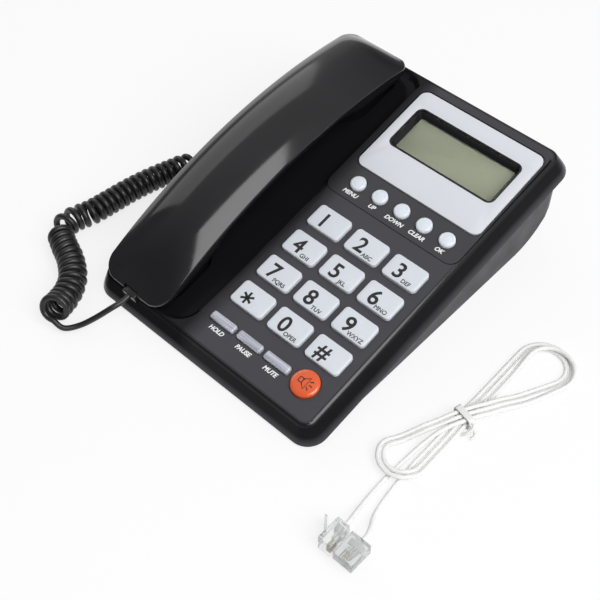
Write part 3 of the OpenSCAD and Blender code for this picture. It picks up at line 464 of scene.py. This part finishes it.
# a hank in a figure of eight; reach and ease say where a strand lifts over another
lineCord = dict(
    diameter=2, sides=12, steps=6, gap=0.45, low=1.05, middle=(103, -34), turn=12.6,
    upR=10.9, lowR=7.7, up=46.6, straight=0.3, lanes=[-1, 1, 1, 0, 0, -1], halves=5, rings=48,
    tieLift=1.2, tieReach=14, tieEase=11, crossReach=30, crossEase=16,
    lowReach=0.24, upReach=0.3, loopEase=0.12,
    plugA=(99.8, -107, 4.825), plugB=(109.2, -107.3, 5.35),
    tailA=[(99.8, -103.4, 4.825), (98.6, -98, 3), (97.4, -90, 1.3), (96.8, -79, 1.05), (97, -70, 1.05),
           (97.4, -63, 1.35), (98.2, -56, 2.55), (99.8, -48, 3.85), (102, -42, 4.65)],
    tailB=[(100.7, -45, 1.35), (100.8, -55, 1.05), (100.9, -65, 1.05), (101.6, -75, 1.05),
           (102.8, -86, 1.15), (104.6, -94, 1.8), (107.6, -100, 4.2), (109.2, -104, 5.35)])

# half of the figure of eight, from crossing to crossing: (along, across) and the heading
def halfEight(cord, half, u):
    low = half % 2 == 1
    straight = cord["straight"]
    r = cord["lowR"] if low else cord["upR"]
    far = cord["up"] * cord["lowR"] / cord["upR"] if low else cord["up"]
    lean = math.asin(cord["upR"] / cord["up"])
    run = math.sqrt(far * far - r * r)
    if u < straight:
        p = (run * u / straight * math.cos(lean), run * u / straight * math.sin(lean))
        head = (math.cos(lean), math.sin(lean))
    elif u > 1 - straight:
        p = (run * (1 - u) / straight * math.cos(lean), -run * (1 - u) / straight * math.sin(lean))
        head = (-math.cos(lean), math.sin(lean))
    else:
        a = (math.pi + 2 * lean) * (u - straight) / (1 - 2 * straight) - lean
        p = (far + r * math.sin(a), r * math.cos(a))
        head = (math.cos(a), -math.sin(a))
    if low:
        return (-p[0], p[1]), (-head[0], head[1])
    return p, head

# a strand moves a lane sideways each turn and lifts where it crosses another
def strandAt(cord, half, u):
    (along, across), head = halfEight(cord, half, u)
    step = cord["diameter"] + cord["gap"]
    move = smooth((u - cord["straight"]) / (1 - 2 * cord["straight"]))
    lane = step * (cord["lanes"][half] * (1 - move) + cord["lanes"][half + 1] * move)
    away, mid = math.hypot(along, across), abs(u - 0.5)
    lift = cord["tieLift"] * smooth((cord["tieReach"] - away) / cord["tieEase"])
    if (half % 2 == 0) == (u < 0.5):
        lift += step * smooth((cord["crossReach"] - away) / cord["crossEase"])
    if half % 2 == 1:
        lift += step * smooth((cord["lowReach"] - mid) / cord["loopEase"])
    elif half == 0:
        lift += step * smooth((cord["upReach"] - mid) / cord["loopEase"])
    x, y = across - lane * head[0], along + lane * head[1]
    t = -math.radians(cord["turn"])
    return Vector((cord["middle"][0] + x * math.cos(t) - y * math.sin(t),
                   cord["middle"][1] + x * math.sin(t) + y * math.cos(t), cord["low"] + lift))

def lineCordLine(cord):
    rings, halves, steps = cord["rings"], cord["halves"], cord["steps"]
    loops = [strandAt(cord, h, i / rings) for h in range(halves) for i in range(rings)]
    near = rings // 24
    start = curveThrough(cord["tailA"] + [loops[0], loops[near]], steps)
    ending = curveThrough([loops[-near], strandAt(cord, halves - 1, 1)] + cord["tailB"], steps)
    line = [Vector(cord["plugA"])] + start[:-1 - steps] + loops[:len(loops) - near]
    return line + ending + [Vector(cord["plugB"])]

def makeLineCord(cord):
    line = lineCordLine(cord)
    bm = bmesh.new()
    tubeAlong(bm, line, cord["sides"], lambda i: cord["diameter"] / 2)
    piece = newPiece("lineCord", bm, "base", cordWhite, ["line_cord"], 60, table)
    return piece, line

handsetCordPiece, handsetLine = makeHandsetCord(handsetCord)
lineCordPiece, lineLine = makeLineCord(lineCord)
print("cords laid:", round(lengthOf(handsetLine)), "and", round(lengthOf(lineLine)), "mm")


# modular plugs: cord side at y 0, nose towards +Y, latch on top
plugForm = dict(thick=6.3, long=11.7, edge=0.35, rise=0, latchWide=3,
                pins=4, pitch=1.02, pin=(0.32, 3.6, 1.9), pinBack=2.4, pinUp=1.3,
                strand=0.7, strandFrom=1.0, strandShort=5.2, strandUp=-0.5,
                clampSlim=3.2, clampLong=2.6, clampHigh=2.4, clampAt=(3.2, 0.1), coreEdge=0.12)
linePlug = dict(plugForm, wide=9.65, shell=plugClear, slot="plug_clear", core=cordWhite)
cordPlug = dict(plugForm, wide=7.65, shell=plugBlack, slot="plug_black", core=plugBlack)
handsetPlugAt = (0, -1.6, 1.1)          # low in the handset's end, as photographed

def latchShape(bm, form):
    n, t, rise, wide = form["long"], form["thick"] / 2, form["rise"], form["latchWide"]
    side = [(n - 2.6, t - 0.9), (n - 2.6, t - 0.2), (n - 4, t + 0.6), (1.4, t + rise),
            (1.0, t + rise - 1.1), (n - 4.4, t - 0.5), (n - 4.6, t - 0.9)]
    face = bm.faces.new([bm.verts.new((-wide / 2, y, z)) for y, z in side])
    made = bmesh.ops.extrude_face_region(bm, geom=[face])["geom"]
    bmesh.ops.translate(bm, vec=(wide, 0, 0), verts=[v for v in made if isinstance(v, bmesh.types.BMVert)])

def makePlug(name, node, body, form, place):
    n, t, wide = form["long"], form["thick"], form["wide"]
    hull = bmesh.new()
    bevelEdges(hull, edgesOf(addBox(hull, (wide, n, t), (0, n / 2, 0))), form["edge"], 3)
    if form["rise"]:
        latchShape(hull, form)
    tidyShape(hull)
    pins, core = bmesh.new(), bmesh.new()
    strand, run = form["strand"], n - form["strandShort"]
    for i in range(form["pins"]):
        x = (i - (form["pins"] - 1) / 2) * form["pitch"]
        addBox(pins, form["pin"], (x, n - form["pinBack"], -t / 2 + form["pinUp"]))
        addBox(core, (strand, run, strand), (x, run / 2 + form["strandFrom"], form["strandUp"]))
    addBox(core, (wide - form["clampSlim"], form["clampLong"], form["clampHigh"]), (0, *form["clampAt"]))
    bevelEdges(core, core.edges, form["coreEdge"], 2)
    return [newPiece(name, hull, body, form["shell"], [node], 30, place),
            newPiece(name + "Contacts", pins, body, contactGold, (), 30, place),
            newPiece(name + "Core", core, body, form["core"], (), 30, place)]

plugA = makePlug("linePlugA", "line_plug_a", "base", dict(linePlug, rise=5.6),
                 table @ moved(*lineCord["plugA"]) @ turned(180, "Z") @ turned(90, "Y"))
plugB = makePlug("linePlugB", "line_plug_b", "base", dict(linePlug, rise=2.2),
                 table @ moved(*lineCord["plugB"]) @ turned(180, "Z") @ turned(180, "Y"))
basePlug = makePlug("basePlug", "handset_cord_base_plug", "base", dict(cordPlug, rise=1.1),
                    table @ moved(*handsetCord["lead"][0]) @ turned(-90, "Z"))
handsetPlug = makePlug("handsetPlug", "handset_cord_plug", "handset", dict(cordPlug, thick=4.2),
                       handset @ moved(*handsetPlugAt))

jackForm = dict(size=(9.2, 10, 5), at=(0, 7.5, 1), edge=0.4)

def makeHandsetJack(form):
    bm = bmesh.new()
    addBox(bm, form["size"], form["at"])
    bevelEdges(bm, bm.edges, form["edge"], 2)
    newPiece("handsetJack", bm, "handset", jackBlack, ["handset_jack"], 30, handset)

makeHandsetJack(jackForm)


# tie: a soft plastic band round the crossing, with two short ends
tieForm = dict(band=3, thick=0.8, width=8.5, low=1.05, high=5.9, corner=1.4, edge=0.3, tailR=0.75,
               tails=[[(4.6, 0.4, 5.2), (6.0, 0.2, 4.6), (6.9, -1.6, 3.6), (6.4, -4.2, 2.4),
                       (5.0, -5.6, 1.4)],
                      [(4.6, -0.4, 4.2), (6.4, -0.8, 3.4), (8.2, -0.6, 2.4), (9.2, -1.8, 1.6),
                       (9.0, -3.6, 1.0)]])

def makeTie(form):
    bm = bmesh.new()
    wall = 2 * form["thick"]
    size = (form["width"] + wall, form["band"], form["high"] - form["low"] + wall)
    addBox(bm, size, (0, 0, (form["low"] + form["high"]) / 2))
    hole = [f for f in bm.faces if abs(f.normal.y) > 0.9]
    bmesh.ops.inset_individual(bm, faces=hole, thickness=form["thick"])
    bmesh.ops.bridge_loops(bm, edges=list(dict.fromkeys(e for f in hole for e in f.edges)))
    bmesh.ops.delete(bm, geom=[f for f in hole if f.is_valid], context="FACES_ONLY")
    outer = [e for e in bm.edges if abs(e.verts[0].co.x) > form["width"] / 2]
    bevelEdges(bm, [e for e in outer if abs(e.verts[0].co.y - e.verts[1].co.y) > 1], form["corner"], 4)
    bevelEdges(bm, [e for e in bm.edges if e.calc_face_angle(0) > 1], form["edge"], 2)
    tidyShape(bm)
    if bm.calc_volume(signed=True) < 0:     # on this band the tidied faces look inwards in some runs
        bmesh.ops.reverse_faces(bm, faces=bm.faces)
    tails = bmesh.new()
    for tail in form["tails"]:
        strand = bmesh.new()
        tubeAlong(strand, curveThrough(tail, 5), 10, lambda i: form["tailR"])
        mesh = bpy.data.meshes.new("tail")
        strand.to_mesh(mesh)
        strand.free()
        tails.from_mesh(mesh)
    place = table @ moved(*lineCord["middle"]) @ turned(-lineCord["turn"], "Z")
    return [newPiece("lineTie", bm, "base", tieWhite, ["line_cord_tie"], 30, place),
            newPiece("lineTieEnds", tails, "base", tieWhite, (), 50, place)]

tiePieces = makeTie(tieForm)
print("plugs and tie ready")


# handset shells: s runs from the mouth end, a shallow dome over the parting line and a half oval under it
shellForm = dict(length=173, width=39, nearCorner=9, farCorner=7, rim=18.5, peak=90, arch=265,
                 dome=7, domePower=2.2, nearRoll=40, nearRollPower=2.2, farRoll=15, farRollPower=2.5,
                 edge=0.9, fillet=0.35, lidShare=0.9, edgeShare=0.1,        # shares of the half width
                 grip=7, podLow=-6.5, mouthPod=52, earPod=51, podEase=20,
                 mouthRise=17, mouthPower=1.6, mouthLeast=0.15, earRise=9, earLeast=0.2,
                 wall=2.2, parting=0.15, rows=160, columns=44)
shellCuts = dict(jack=(9.4, 14.8, 5.4), jackAt=(0, 5.2, 1.0), notch=(8.4, 4, 6), notchAt=(0, -0.8, 2.6),
                 hole=2.2, holeDeep=12, holeSides=20, ear=(153, 10), mouth=(22, 6))

def easeShare(d, r, power, least=0):
    return least + (1 - least) * (1 - max(1 - d / r, 0) ** power)

def capShare(d, r, least):
    return 1 if d >= r else least + (1 - least) * math.sqrt(max(1 - (1 - d / r) ** 2, 0))

def tuckIn(d, r):
    return 0 if d >= r else r - math.sqrt(max(r * r - (r - d) ** 2, 0))

def halfWidth(s):
    f = shellForm
    return f["width"] / 2 - tuckIn(s, f["nearCorner"]) - tuckIn(f["length"] - s, f["farCorner"])

def partingAt(s):
    return shellForm["rim"] - (s - shellForm["peak"]) ** 2 / (2 * shellForm["arch"])

def undersideAt(s):
    f = shellForm
    high, fromEar = partingAt(s), f["length"] - s
    pod = smooth((f["mouthPod"] - s) / f["podEase"]) + smooth((f["earPod"] - fromEar) / f["podEase"])
    drop = high - f["grip"] + (f["grip"] - f["podLow"]) * pod
    mouth = easeShare(s, f["mouthRise"], f["mouthPower"], f["mouthLeast"])
    return high - drop * mouth * capShare(fromEar, f["earRise"], f["earLeast"])

# stations crowd towards the two ends
def stationAt(a):
    t = a * 2 - 1
    return shellForm["length"] * (0.5 + 0.5 * math.copysign(1 - (1 - abs(t)) ** 2, t))

def domePoint(a, b):
    f = shellForm
    s = stationAt(a)
    fromEar = f["length"] - s
    high = f["dome"] * easeShare(s, f["nearRoll"], f["nearRollPower"])
    high *= easeShare(fromEar, f["farRoll"], f["farRollPower"])
    half, foot = halfWidth(s), partingAt(s)
    edge = f["edge"] - tuckIn(min(s, fromEar), f["fillet"])
    across = b * 2 - 1
    reach = min(abs(across) / f["lidShare"], 1)
    down = max(abs(across) - f["lidShare"], 0) / f["edgeShare"]      # over the fillet and down the edge
    if reach == 1:
        x = half - f["fillet"] * (1 - min(down * 2, 1)) ** 2
    else:
        x = (half - f["fillet"]) * math.sin(reach * math.pi / 2)
    z = edge + high * (1 - (abs(x) / half) ** f["domePower"]) - f["fillet"] * min(down * 2, 1) ** 2
    if down > 0.5:
        z *= 2 - down * 2
    return Vector((math.copysign(x, across), s, foot + z))

def ovalPoint(a, b):
    s = stationAt(a)
    foot = partingAt(s) - shellForm["parting"]
    angle = math.pi * b
    return Vector((halfWidth(s) * math.cos(angle), s, foot - (foot - undersideAt(s)) * math.sin(angle)))

# the lid gets a notch over the plug
def lidCutter(cuts):
    bm = bmesh.new()
    addBox(bm, cuts["notch"], cuts["notchAt"])
    return newPiece("lidCutter", bm, None, handsetGloss, (), 30, handset)

# the lower shell gets room for the jack, and holes over the capsules
def shellCutter(cuts):
    bm = bmesh.new()
    addBox(bm, cuts["jack"], cuts["jackAt"])
    r = cuts["hole"] / 2
    for s, across in (cuts["ear"], cuts["mouth"]):
        angles = [k * math.pi / 3 for k in range(6)]
        ring = [(across / 2 * math.cos(angle), s + across / 2 * math.sin(angle)) for angle in angles]
        for x, y in [(0, s)] + ring:
            bmesh.ops.create_cone(bm, cap_ends=True, segments=cuts["holeSides"], radius1=r, radius2=r,
                                  depth=cuts["holeDeep"], matrix=moved(x, y, shellForm["podLow"]))
    return newPiece("shellCutter", bm, None, handsetGloss, (), 30, handset)

def bakedMesh(holder):
    bpy.context.view_layer.update()
    return bpy.data.meshes.new_from_object(holder.evaluated_get(bpy.context.evaluated_depsgraph_get()))

def makeShell(name, node, shape, up, cutter):
    bm = bmesh.new()
    loftGrid(bm, shellForm["rows"], shellForm["columns"], shape)
    for end in (0, shellForm["length"]):
        rim = [e for e in bm.edges if e.is_boundary and all(abs(v.co.y - end) < 0.001 for v in e.verts)]
        bmesh.ops.contextual_create(bm, geom=rim)
    tidyShape(bm, 0.0005)
    top = max(bm.faces, key=lambda f: f.calc_center_median().z * up)
    if top.normal.z * up < 0:
        bmesh.ops.reverse_faces(bm, faces=bm.faces)
    piece = newPiece(name, bm, "handset", handsetGloss, [node], 35, handset)
    wall = piece.modifiers.new("wall", "SOLIDIFY")
    wall.thickness = shellForm["wall"] * mm
    wall.offset = -1
    room = piece.modifiers.new("room", "BOOLEAN")
    room.object = cutter
    room.solver = "MANIFOLD"
    baked = bakedMesh(piece)
    piece.modifiers.clear()
    piece.data = baked
    baked.shade_smooth()
    baked.set_sharp_from_angle(angle=math.radians(35))
    bpy.data.objects.remove(cutter)

makeShell("handsetUpper", "handset_upper_shell", domePoint, 1, lidCutter(shellCuts))
makeShell("handsetLower", "handset_lower_shell", ovalPoint, -1, shellCutter(shellCuts))
print("handset shells ready")


# case mouldings: the solids with their flats merged and their shading evened
mouldings = [("caseTop", "top_shell", caseCharcoal, "case_charcoal"),
             ("caseBottom", "bottom_shell", lowerGrey, "case_grey"),
             ("displayBlock", "display_housing", blockCharcoal, "case_charcoal")]

def makeMoulding(name, node, finish, slot):
    bm = bmesh.new()
    bm.from_mesh(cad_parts[node].data)
    bmesh.ops.remove_doubles(bm, verts=bm.verts, dist=0.000002)
    bmesh.ops.dissolve_limit(bm, angle_limit=math.radians(0.8), verts=bm.verts, edges=bm.edges)
    piece = newPiece(name, bm, "base", finish, [node], 30)
    shade = piece.modifiers.new("shade", "WEIGHTED_NORMAL")
    shade.keep_sharp = True

for moulding in mouldings:
    makeMoulding(*moulding)

# display surround: flat rings between two rounded outlines
plateForm = dict(wide=70, long=51.5, corner=4, at=(25.3, 44.2), low=-0.5, top=0.5, ease=0.25)
windowForm = dict(wide=59, long=24.5, corner=3, at=(25, 48))
trimForm = dict(out=0.6, over=0.3, low=-3, top=0.62, ease=0.15)

def roundedWall(bm, outline, low, top):
    wide, long, corner, centre = outline
    verts = addBox(bm, (wide, long, top - low), (*centre, (low + top) / 2))
    bevelEdges(bm, uprights(edgesOf(verts)), corner, 8)
    caps = [f for f in bm.faces if f.is_valid and len(f.verts) > 8]
    bmesh.ops.delete(bm, geom=caps, context="FACES_ONLY")

def edgesAt(bm, level):
    return [e for e in bm.edges if all(abs(v.co.z - level) < 0.001 for v in e.verts)]

def makeRing(name, nodes, finish, outer, inner, form):
    bm = bmesh.new()
    low, top = form["low"], form["top"]
    roundedWall(bm, outer, low, top)
    roundedWall(bm, inner, low, top)
    for level in (low, top):
        rims = [e for e in edgesAt(bm, level) if e.is_boundary]
        bmesh.ops.triangle_fill(bm, use_beauty=True, edges=rims)
    tidyShape(bm)
    bevelEdges(bm, [e for e in edgesAt(bm, top) if e.calc_face_angle(0) > 1], form["ease"], 2)
    newPiece(name, bm, "base", finish, nodes, 35, block)

def outlineOf(form, grow=0):
    return form["wide"] + 2 * grow, form["long"] + 2 * grow, form["corner"] + grow, form["at"]

makeRing("displayPlate", ["display_plate"], plateSilver,
         outlineOf(plateForm), outlineOf(windowForm), plateForm)
makeRing("windowTrim", (), trimBlack,
         outlineOf(windowForm, trimForm["out"]), outlineOf(windowForm, -trimForm["over"]), trimForm)
print("case mouldings ready")


# keys
keyForm = dict(padX=25.3, padV=-30.75, pitchX=22, pitchV=16.9, wide=18.4, long=12.2, corner=1.9, edge=0.5,
               top=1.8, low=-4, crown=0.10)
slimForm = dict(first=0.4, pitch=16, v=-72.15, wide=13.8, long=4.2, corner=1.0, edge=0.85,
                top=1.6, low=-4, crown=0.12, words=["HOLD", "PAUSE", "MUTE"], wordsV=-77.1)
roundForm = dict(pitch=12.85, w=9.55, radius=3.8, top=1.8, low=-4.68, crown=0.1, steps=48,
                 shoulder=[(0, -0.9), (0.1, -0.6), (0.4, -0.3), (0.9, -0.1), (1.3, -0.06), (1.45, -0.12),
                           (1.6, -0.05), (2.4, 0.05)],
                 words=["MENU", "UP", "DOWN", "CLEAR", "OK"], wordsW=3.5)
speakerForm = dict(x=48.3, v=-72.15, radius=6.5, top=1.8, low=-4, crown=0.1, steps=64,
                   shoulder=[(0, -1.0), (0.15, -0.6), (0.6, -0.3), (1.5, -0.1), (3, 0.02)])
flangeForm = dict(out=1, high=1.5, edge=0.2)
dialPrint = {"1": ("I", ""), "2": ("2", "ABC"), "3": ("3", "DEF"), "4": ("4", "GHI"), "5": ("5", "JKL"),
             "6": ("6", "MNO"), "7": ("7", "PQRS"), "8": ("8", "TUV"), "9": ("9", "WXYZ"),
             "star": ("*", ""), "0": ("0", "OPER"), "hash": ("#", "")}
digitInk = dict(size=10.6, lean=0, bold=0.22, at=(-2.3, -1.2), lift=0.15, star=6.4, stroke=1.15, thick=0.06)
lettersInk = dict(size=2.8, lean=0, bold=0.08, at=(3.6, -4.3), lift=0.13)
labelInk = dict(size=2.9, lean=0.25, bold=0.11)
inkHalf = 0.03                # how far ink stands off its surface

# a rounded block with a slight crown, on a flange that holds it under the panel
def blockCap(form):
    bm = bmesh.new()
    w, n, low, top = form["wide"], form["long"], form["low"], form["top"]
    addBox(bm, (w, n, top - low), (0, 0, (low + top) / 2))
    bevelEdges(bm, uprights(bm.edges), form["corner"], 6)
    face = max(bm.faces, key=lambda f: f.calc_center_median().z)
    bevelEdges(bm, face.edges, form["edge"], 4)
    face = max(bm.faces, key=lambda f: f.calc_area() if f.normal.z > 0.99 else 0)
    inset = (form["corner"] - form["edge"]) * 0.4
    for lift in (form["crown"], form["crown"] * 0.5):
        bmesh.ops.inset_region(bm, faces=[face], thickness=inset, use_even_offset=True)
        bmesh.ops.translate(bm, vec=(0, 0, lift), verts=face.verts)
    out, high = flangeForm["out"], flangeForm["high"]
    flange = addBox(bm, (w + 2 * out, n + 2 * out, high), (0, 0, low + high / 2))
    bevelEdges(bm, edgesOf(flange), flangeForm["edge"], 1)
    return bm

# a round cap on the same flange; its shoulder is told from the rim inwards and from the top upwards
def turnedCap(form):
    bm = bmesh.new()
    r, top, low = form["radius"], form["top"], form["low"]
    out, high = flangeForm["out"], flangeForm["high"]
    foot = [(0, low), (r + out, low), (r + out, low + high), (r, low + high)]
    shoulder = [(r - inwards, top + up) for inwards, up in form["shoulder"]]
    turnProfile(bm, foot + shoulder + [(0, top + form["crown"])], form["steps"])
    return bm

# ink is the font's outline, fattened all round and then pressed flat
def lettering(bm, words, ink, place):
    if not words:
        return
    curve = bpy.data.curves.new("words", "FONT")
    curve.body, curve.size, curve.shear, curve.bevel_depth = words, ink["size"], ink["lean"], ink["bold"]
    curve.align_x, curve.align_y = "CENTER", "CENTER"
    holder = bpy.data.objects.new("words", curve)
    scene.collection.objects.link(holder)
    mesh = bakedMesh(holder)
    bpy.data.objects.remove(holder)
    mesh.transform(place @ Matrix.Diagonal((1, 1, inkHalf / ink["bold"], 1)))
    bm.from_mesh(mesh)

def starSign(bm, ink, place):
    for turn in (0, 60, 120):
        arm = addBox(bm, (ink["stroke"], ink["star"], ink["thick"]), (0, 0, 0), turned(turn, "Z"))
        bmesh.ops.transform(bm, matrix=place, verts=arm)

def makeDialKeys(form):
    for i, (mark, (digit, letters)) in enumerate(dialPrint.items()):
        body = "key_" + mark
        column, row = i % 3 - 1, 1.5 - i // 3
        place = panel @ moved(form["padX"] + column * form["pitchX"], form["padV"] + row * form["pitchV"])
        newPiece("dialKey" + mark.capitalize(), blockCap(form), body, keyWhite, [body], 30,
                 place)
        bm = bmesh.new()
        digitAt = moved(*digitInk["at"], form["top"] + digitInk["lift"])
        if mark == "star":
            starSign(bm, digitInk, digitAt)
        else:
            lettering(bm, digit, digitInk, digitAt)
        lettering(bm, letters, lettersInk, moved(*lettersInk["at"], form["top"] + lettersInk["lift"]))
        newPiece("dialPrint" + mark.capitalize(), bm, body, inkBlack, (), 30, place)

def makeSlimKeys(form):
    labels = bmesh.new()
    for i, word in enumerate(form["words"]):
        body = "key_" + word.lower()
        x = form["first"] + i * form["pitch"]
        newPiece("slimKey" + word.capitalize(), blockCap(form), body, keyBar, [body], 30,
                 panel @ moved(x, form["v"]))
        lettering(labels, word, labelInk, moved(x, form["wordsV"]))
    newPiece("slimLabels", labels, "base", inkWhite, (), 30, panel)

def makeRoundKeys(form):
    labels = bmesh.new()
    for i, word in enumerate(form["words"]):
        body = "key_" + word.lower()
        x = keyForm["padX"] + (i - 2) * form["pitch"]
        newPiece("roundKey" + word.capitalize(), turnedCap(form), body, keyPearl, [body], 40,
                 block @ moved(x, form["w"]))
        lettering(labels, word, labelInk, moved(x, form["wordsW"]))
    newPiece("roundLabels", labels, "base", inkWhite, (), 30, block)

# the loudspeaker's sign: an outlined cone with a bar across it and three waves
signForm = dict(cone=[(-3.2, -1.3), (-1.1, -1.3), (1.3, -3.2), (1.3, 3.2), (-1.1, 1.3), (-3.2, 1.3)],
                lift=0.14, stroke=0.45, thick=0.04, bar=2.2, barX=-1.1, barLift=0.13,
                wave=1.7, waveX=3.1, waveLift=0.08, waveTurns=(-35, 0, 35))

def makeSpeakerKey(form, sign):
    body, top = "key_loudspeaker", form["top"]
    place = panel @ moved(form["x"], form["v"])
    newPiece("speakerKey", turnedCap(form), body, keyOrange, [body], 40, place)
    bm = bmesh.new()
    face = bm.faces.new([bm.verts.new((x, y, top + sign["lift"])) for x, y in sign["cone"]])
    face.normal_update()
    bmesh.ops.inset_individual(bm, faces=[face], thickness=sign["stroke"])
    bmesh.ops.delete(bm, geom=[face], context="FACES")
    stroke, thick = sign["stroke"], sign["thick"]
    addBox(bm, (stroke, sign["bar"], thick), (sign["barX"], 0, top + sign["barLift"]))
    for turn in sign["waveTurns"]:
        wave = addBox(bm, (sign["wave"], stroke, thick), (sign["waveX"], 0, top + sign["waveLift"]))
        bmesh.ops.rotate(bm, cent=(0, 0, 0), matrix=turned(turn, "Z"), verts=wave)
    newPiece("speakerSign", bm, body, inkBlack, (), 30, place)

makeDialKeys(keyForm)
makeSlimKeys(slimForm)
makeRoundKeys(roundForm)
makeSpeakerKey(speakerForm, signForm)
print("keys ready")


# CAD nodes that stay as they are
nodeFinishes = dict(display_window=windowClear, lcd_panel=lcdGlass, display_board=boardGreen,
                    main_board=boardGreen, keypad_mat=matRubber, loudspeaker=speakerMetal,
                    line_jack=jackBlack, handset_cord_jack=jackBlack, hook_switch=jackBlack,
                    rubber_feet=footRubber, case_screws=screwSteel, hook_plunger=handsetGloss,
                    earpiece_capsule=capsuleMetal, microphone_capsule=capsuleMetal,
                    handset_weight=weightSteel)
for node, finish in nodeFinishes.items():
    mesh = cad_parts[node].data
    mesh.materials.clear()
    mesh.materials.append(finish)


# stage: pale floor, soft boxes, bright horizon under a dim ceiling
floorForm = dict(size=3.0, colour=(0.9, 0.9, 0.9), shade=0.24)
roomForm = dict(rise=(0.12, 0.6), horizon=0.9, ceiling=0.62,
                sides=[dict(axis="Y", near=0.1, far=-0.6, dim=0.3),
                       dict(axis="Y", near=0.5, far=0.85, dim=0.28),
                       dict(axis="X", near=-0.65, far=-0.95, dim=0.26)])
softBoxes = [dict(name="keyBox", at=(0.80, -0.12, 1.0), size=(0.8, 1.1), power=12.5),
             dict(name="fillBox", at=(-1.1, 0.3, 0.7), size=(1.0, 1.0), power=3.2),
             dict(name="cornerBox", at=(1.0, -0.95, 1.1), size=(0.25, 0.25), power=1.2)]
lampAim = (0, -0.02, 0.02)

# 1 for camera, mirror and glass rays
def seesBackdrop(finish):
    path = addNode(finish, "ShaderNodeLightPath").outputs
    direct = combine(finish, "MAXIMUM", path["Is Camera Ray"], path["Is Glossy Ray"])
    return combine(finish, "MAXIMUM", direct, path["Is Transmission Ray"])

# the floor looks white, and keeps a share of its shading for the shadow
def makeFloor(form):
    finish = newFinish("floorWhite", form["colour"], 0.8, Specular_IOR_Level=0.1)
    glow = addNode(finish, "ShaderNodeEmission")
    share = addNode(finish, "ShaderNodeMixShader")
    wire(finish, span(finish, seesBackdrop(finish), 0, 1, 0, 1 - form["shade"]), share.inputs["Fac"])
    wire(finish, shaderOf(finish).outputs["BSDF"], share.inputs[1])
    wire(finish, glow.outputs["Emission"], share.inputs[2])
    wire(finish, share.outputs["Shader"], finish.node_tree.nodes["Material Output"].inputs["Surface"])
    bm = bmesh.new()
    bmesh.ops.create_grid(bm, x_segments=2, y_segments=2, size=form["size"])
    newPiece("floor", bm, None, finish)

def makeWorld(form):
    world = bpy.data.worlds.new("studio")
    world.use_nodes = True
    scene.world = world
    split = addNode(world, "ShaderNodeSeparateXYZ")
    wire(world, addNode(world, "ShaderNodeTexCoord").outputs["Generated"], split.inputs["Vector"])
    height = split.outputs["Z"]
    strength = span(world, height, *form["rise"], form["horizon"], form["ceiling"], "SMOOTHSTEP")
    for side in form["sides"]:
        share = span(world, split.outputs[side["axis"]], side["near"], side["far"], 1, side["dim"])
        strength = combine(world, "MULTIPLY", strength, share)
    backdrop = world.node_tree.nodes["Background"]
    backdrop.inputs["Color"].default_value = (1, 1, 1, 1)
    wire(world, strength, backdrop.inputs["Strength"])

def makeLights(boxes):
    for form in boxes:
        lamp = bpy.data.lights.new(form["name"], "AREA")
        lamp.shape = "RECTANGLE"
        lamp.size, lamp.size_y = form["size"]
        lamp.energy = form["power"]
        holder = bpy.data.objects.new(form["name"], lamp)
        scene.collection.objects.link(holder)
        aim = Vector(lampAim) - Vector(form["at"])
        turn = aim.to_track_quat("-Z", "Y").to_matrix().to_4x4()
        holder.matrix_world = Matrix.Translation(form["at"]) @ turn

makeFloor(floorForm)
makeWorld(roomForm)
makeLights(softBoxes)
print("stage ready")
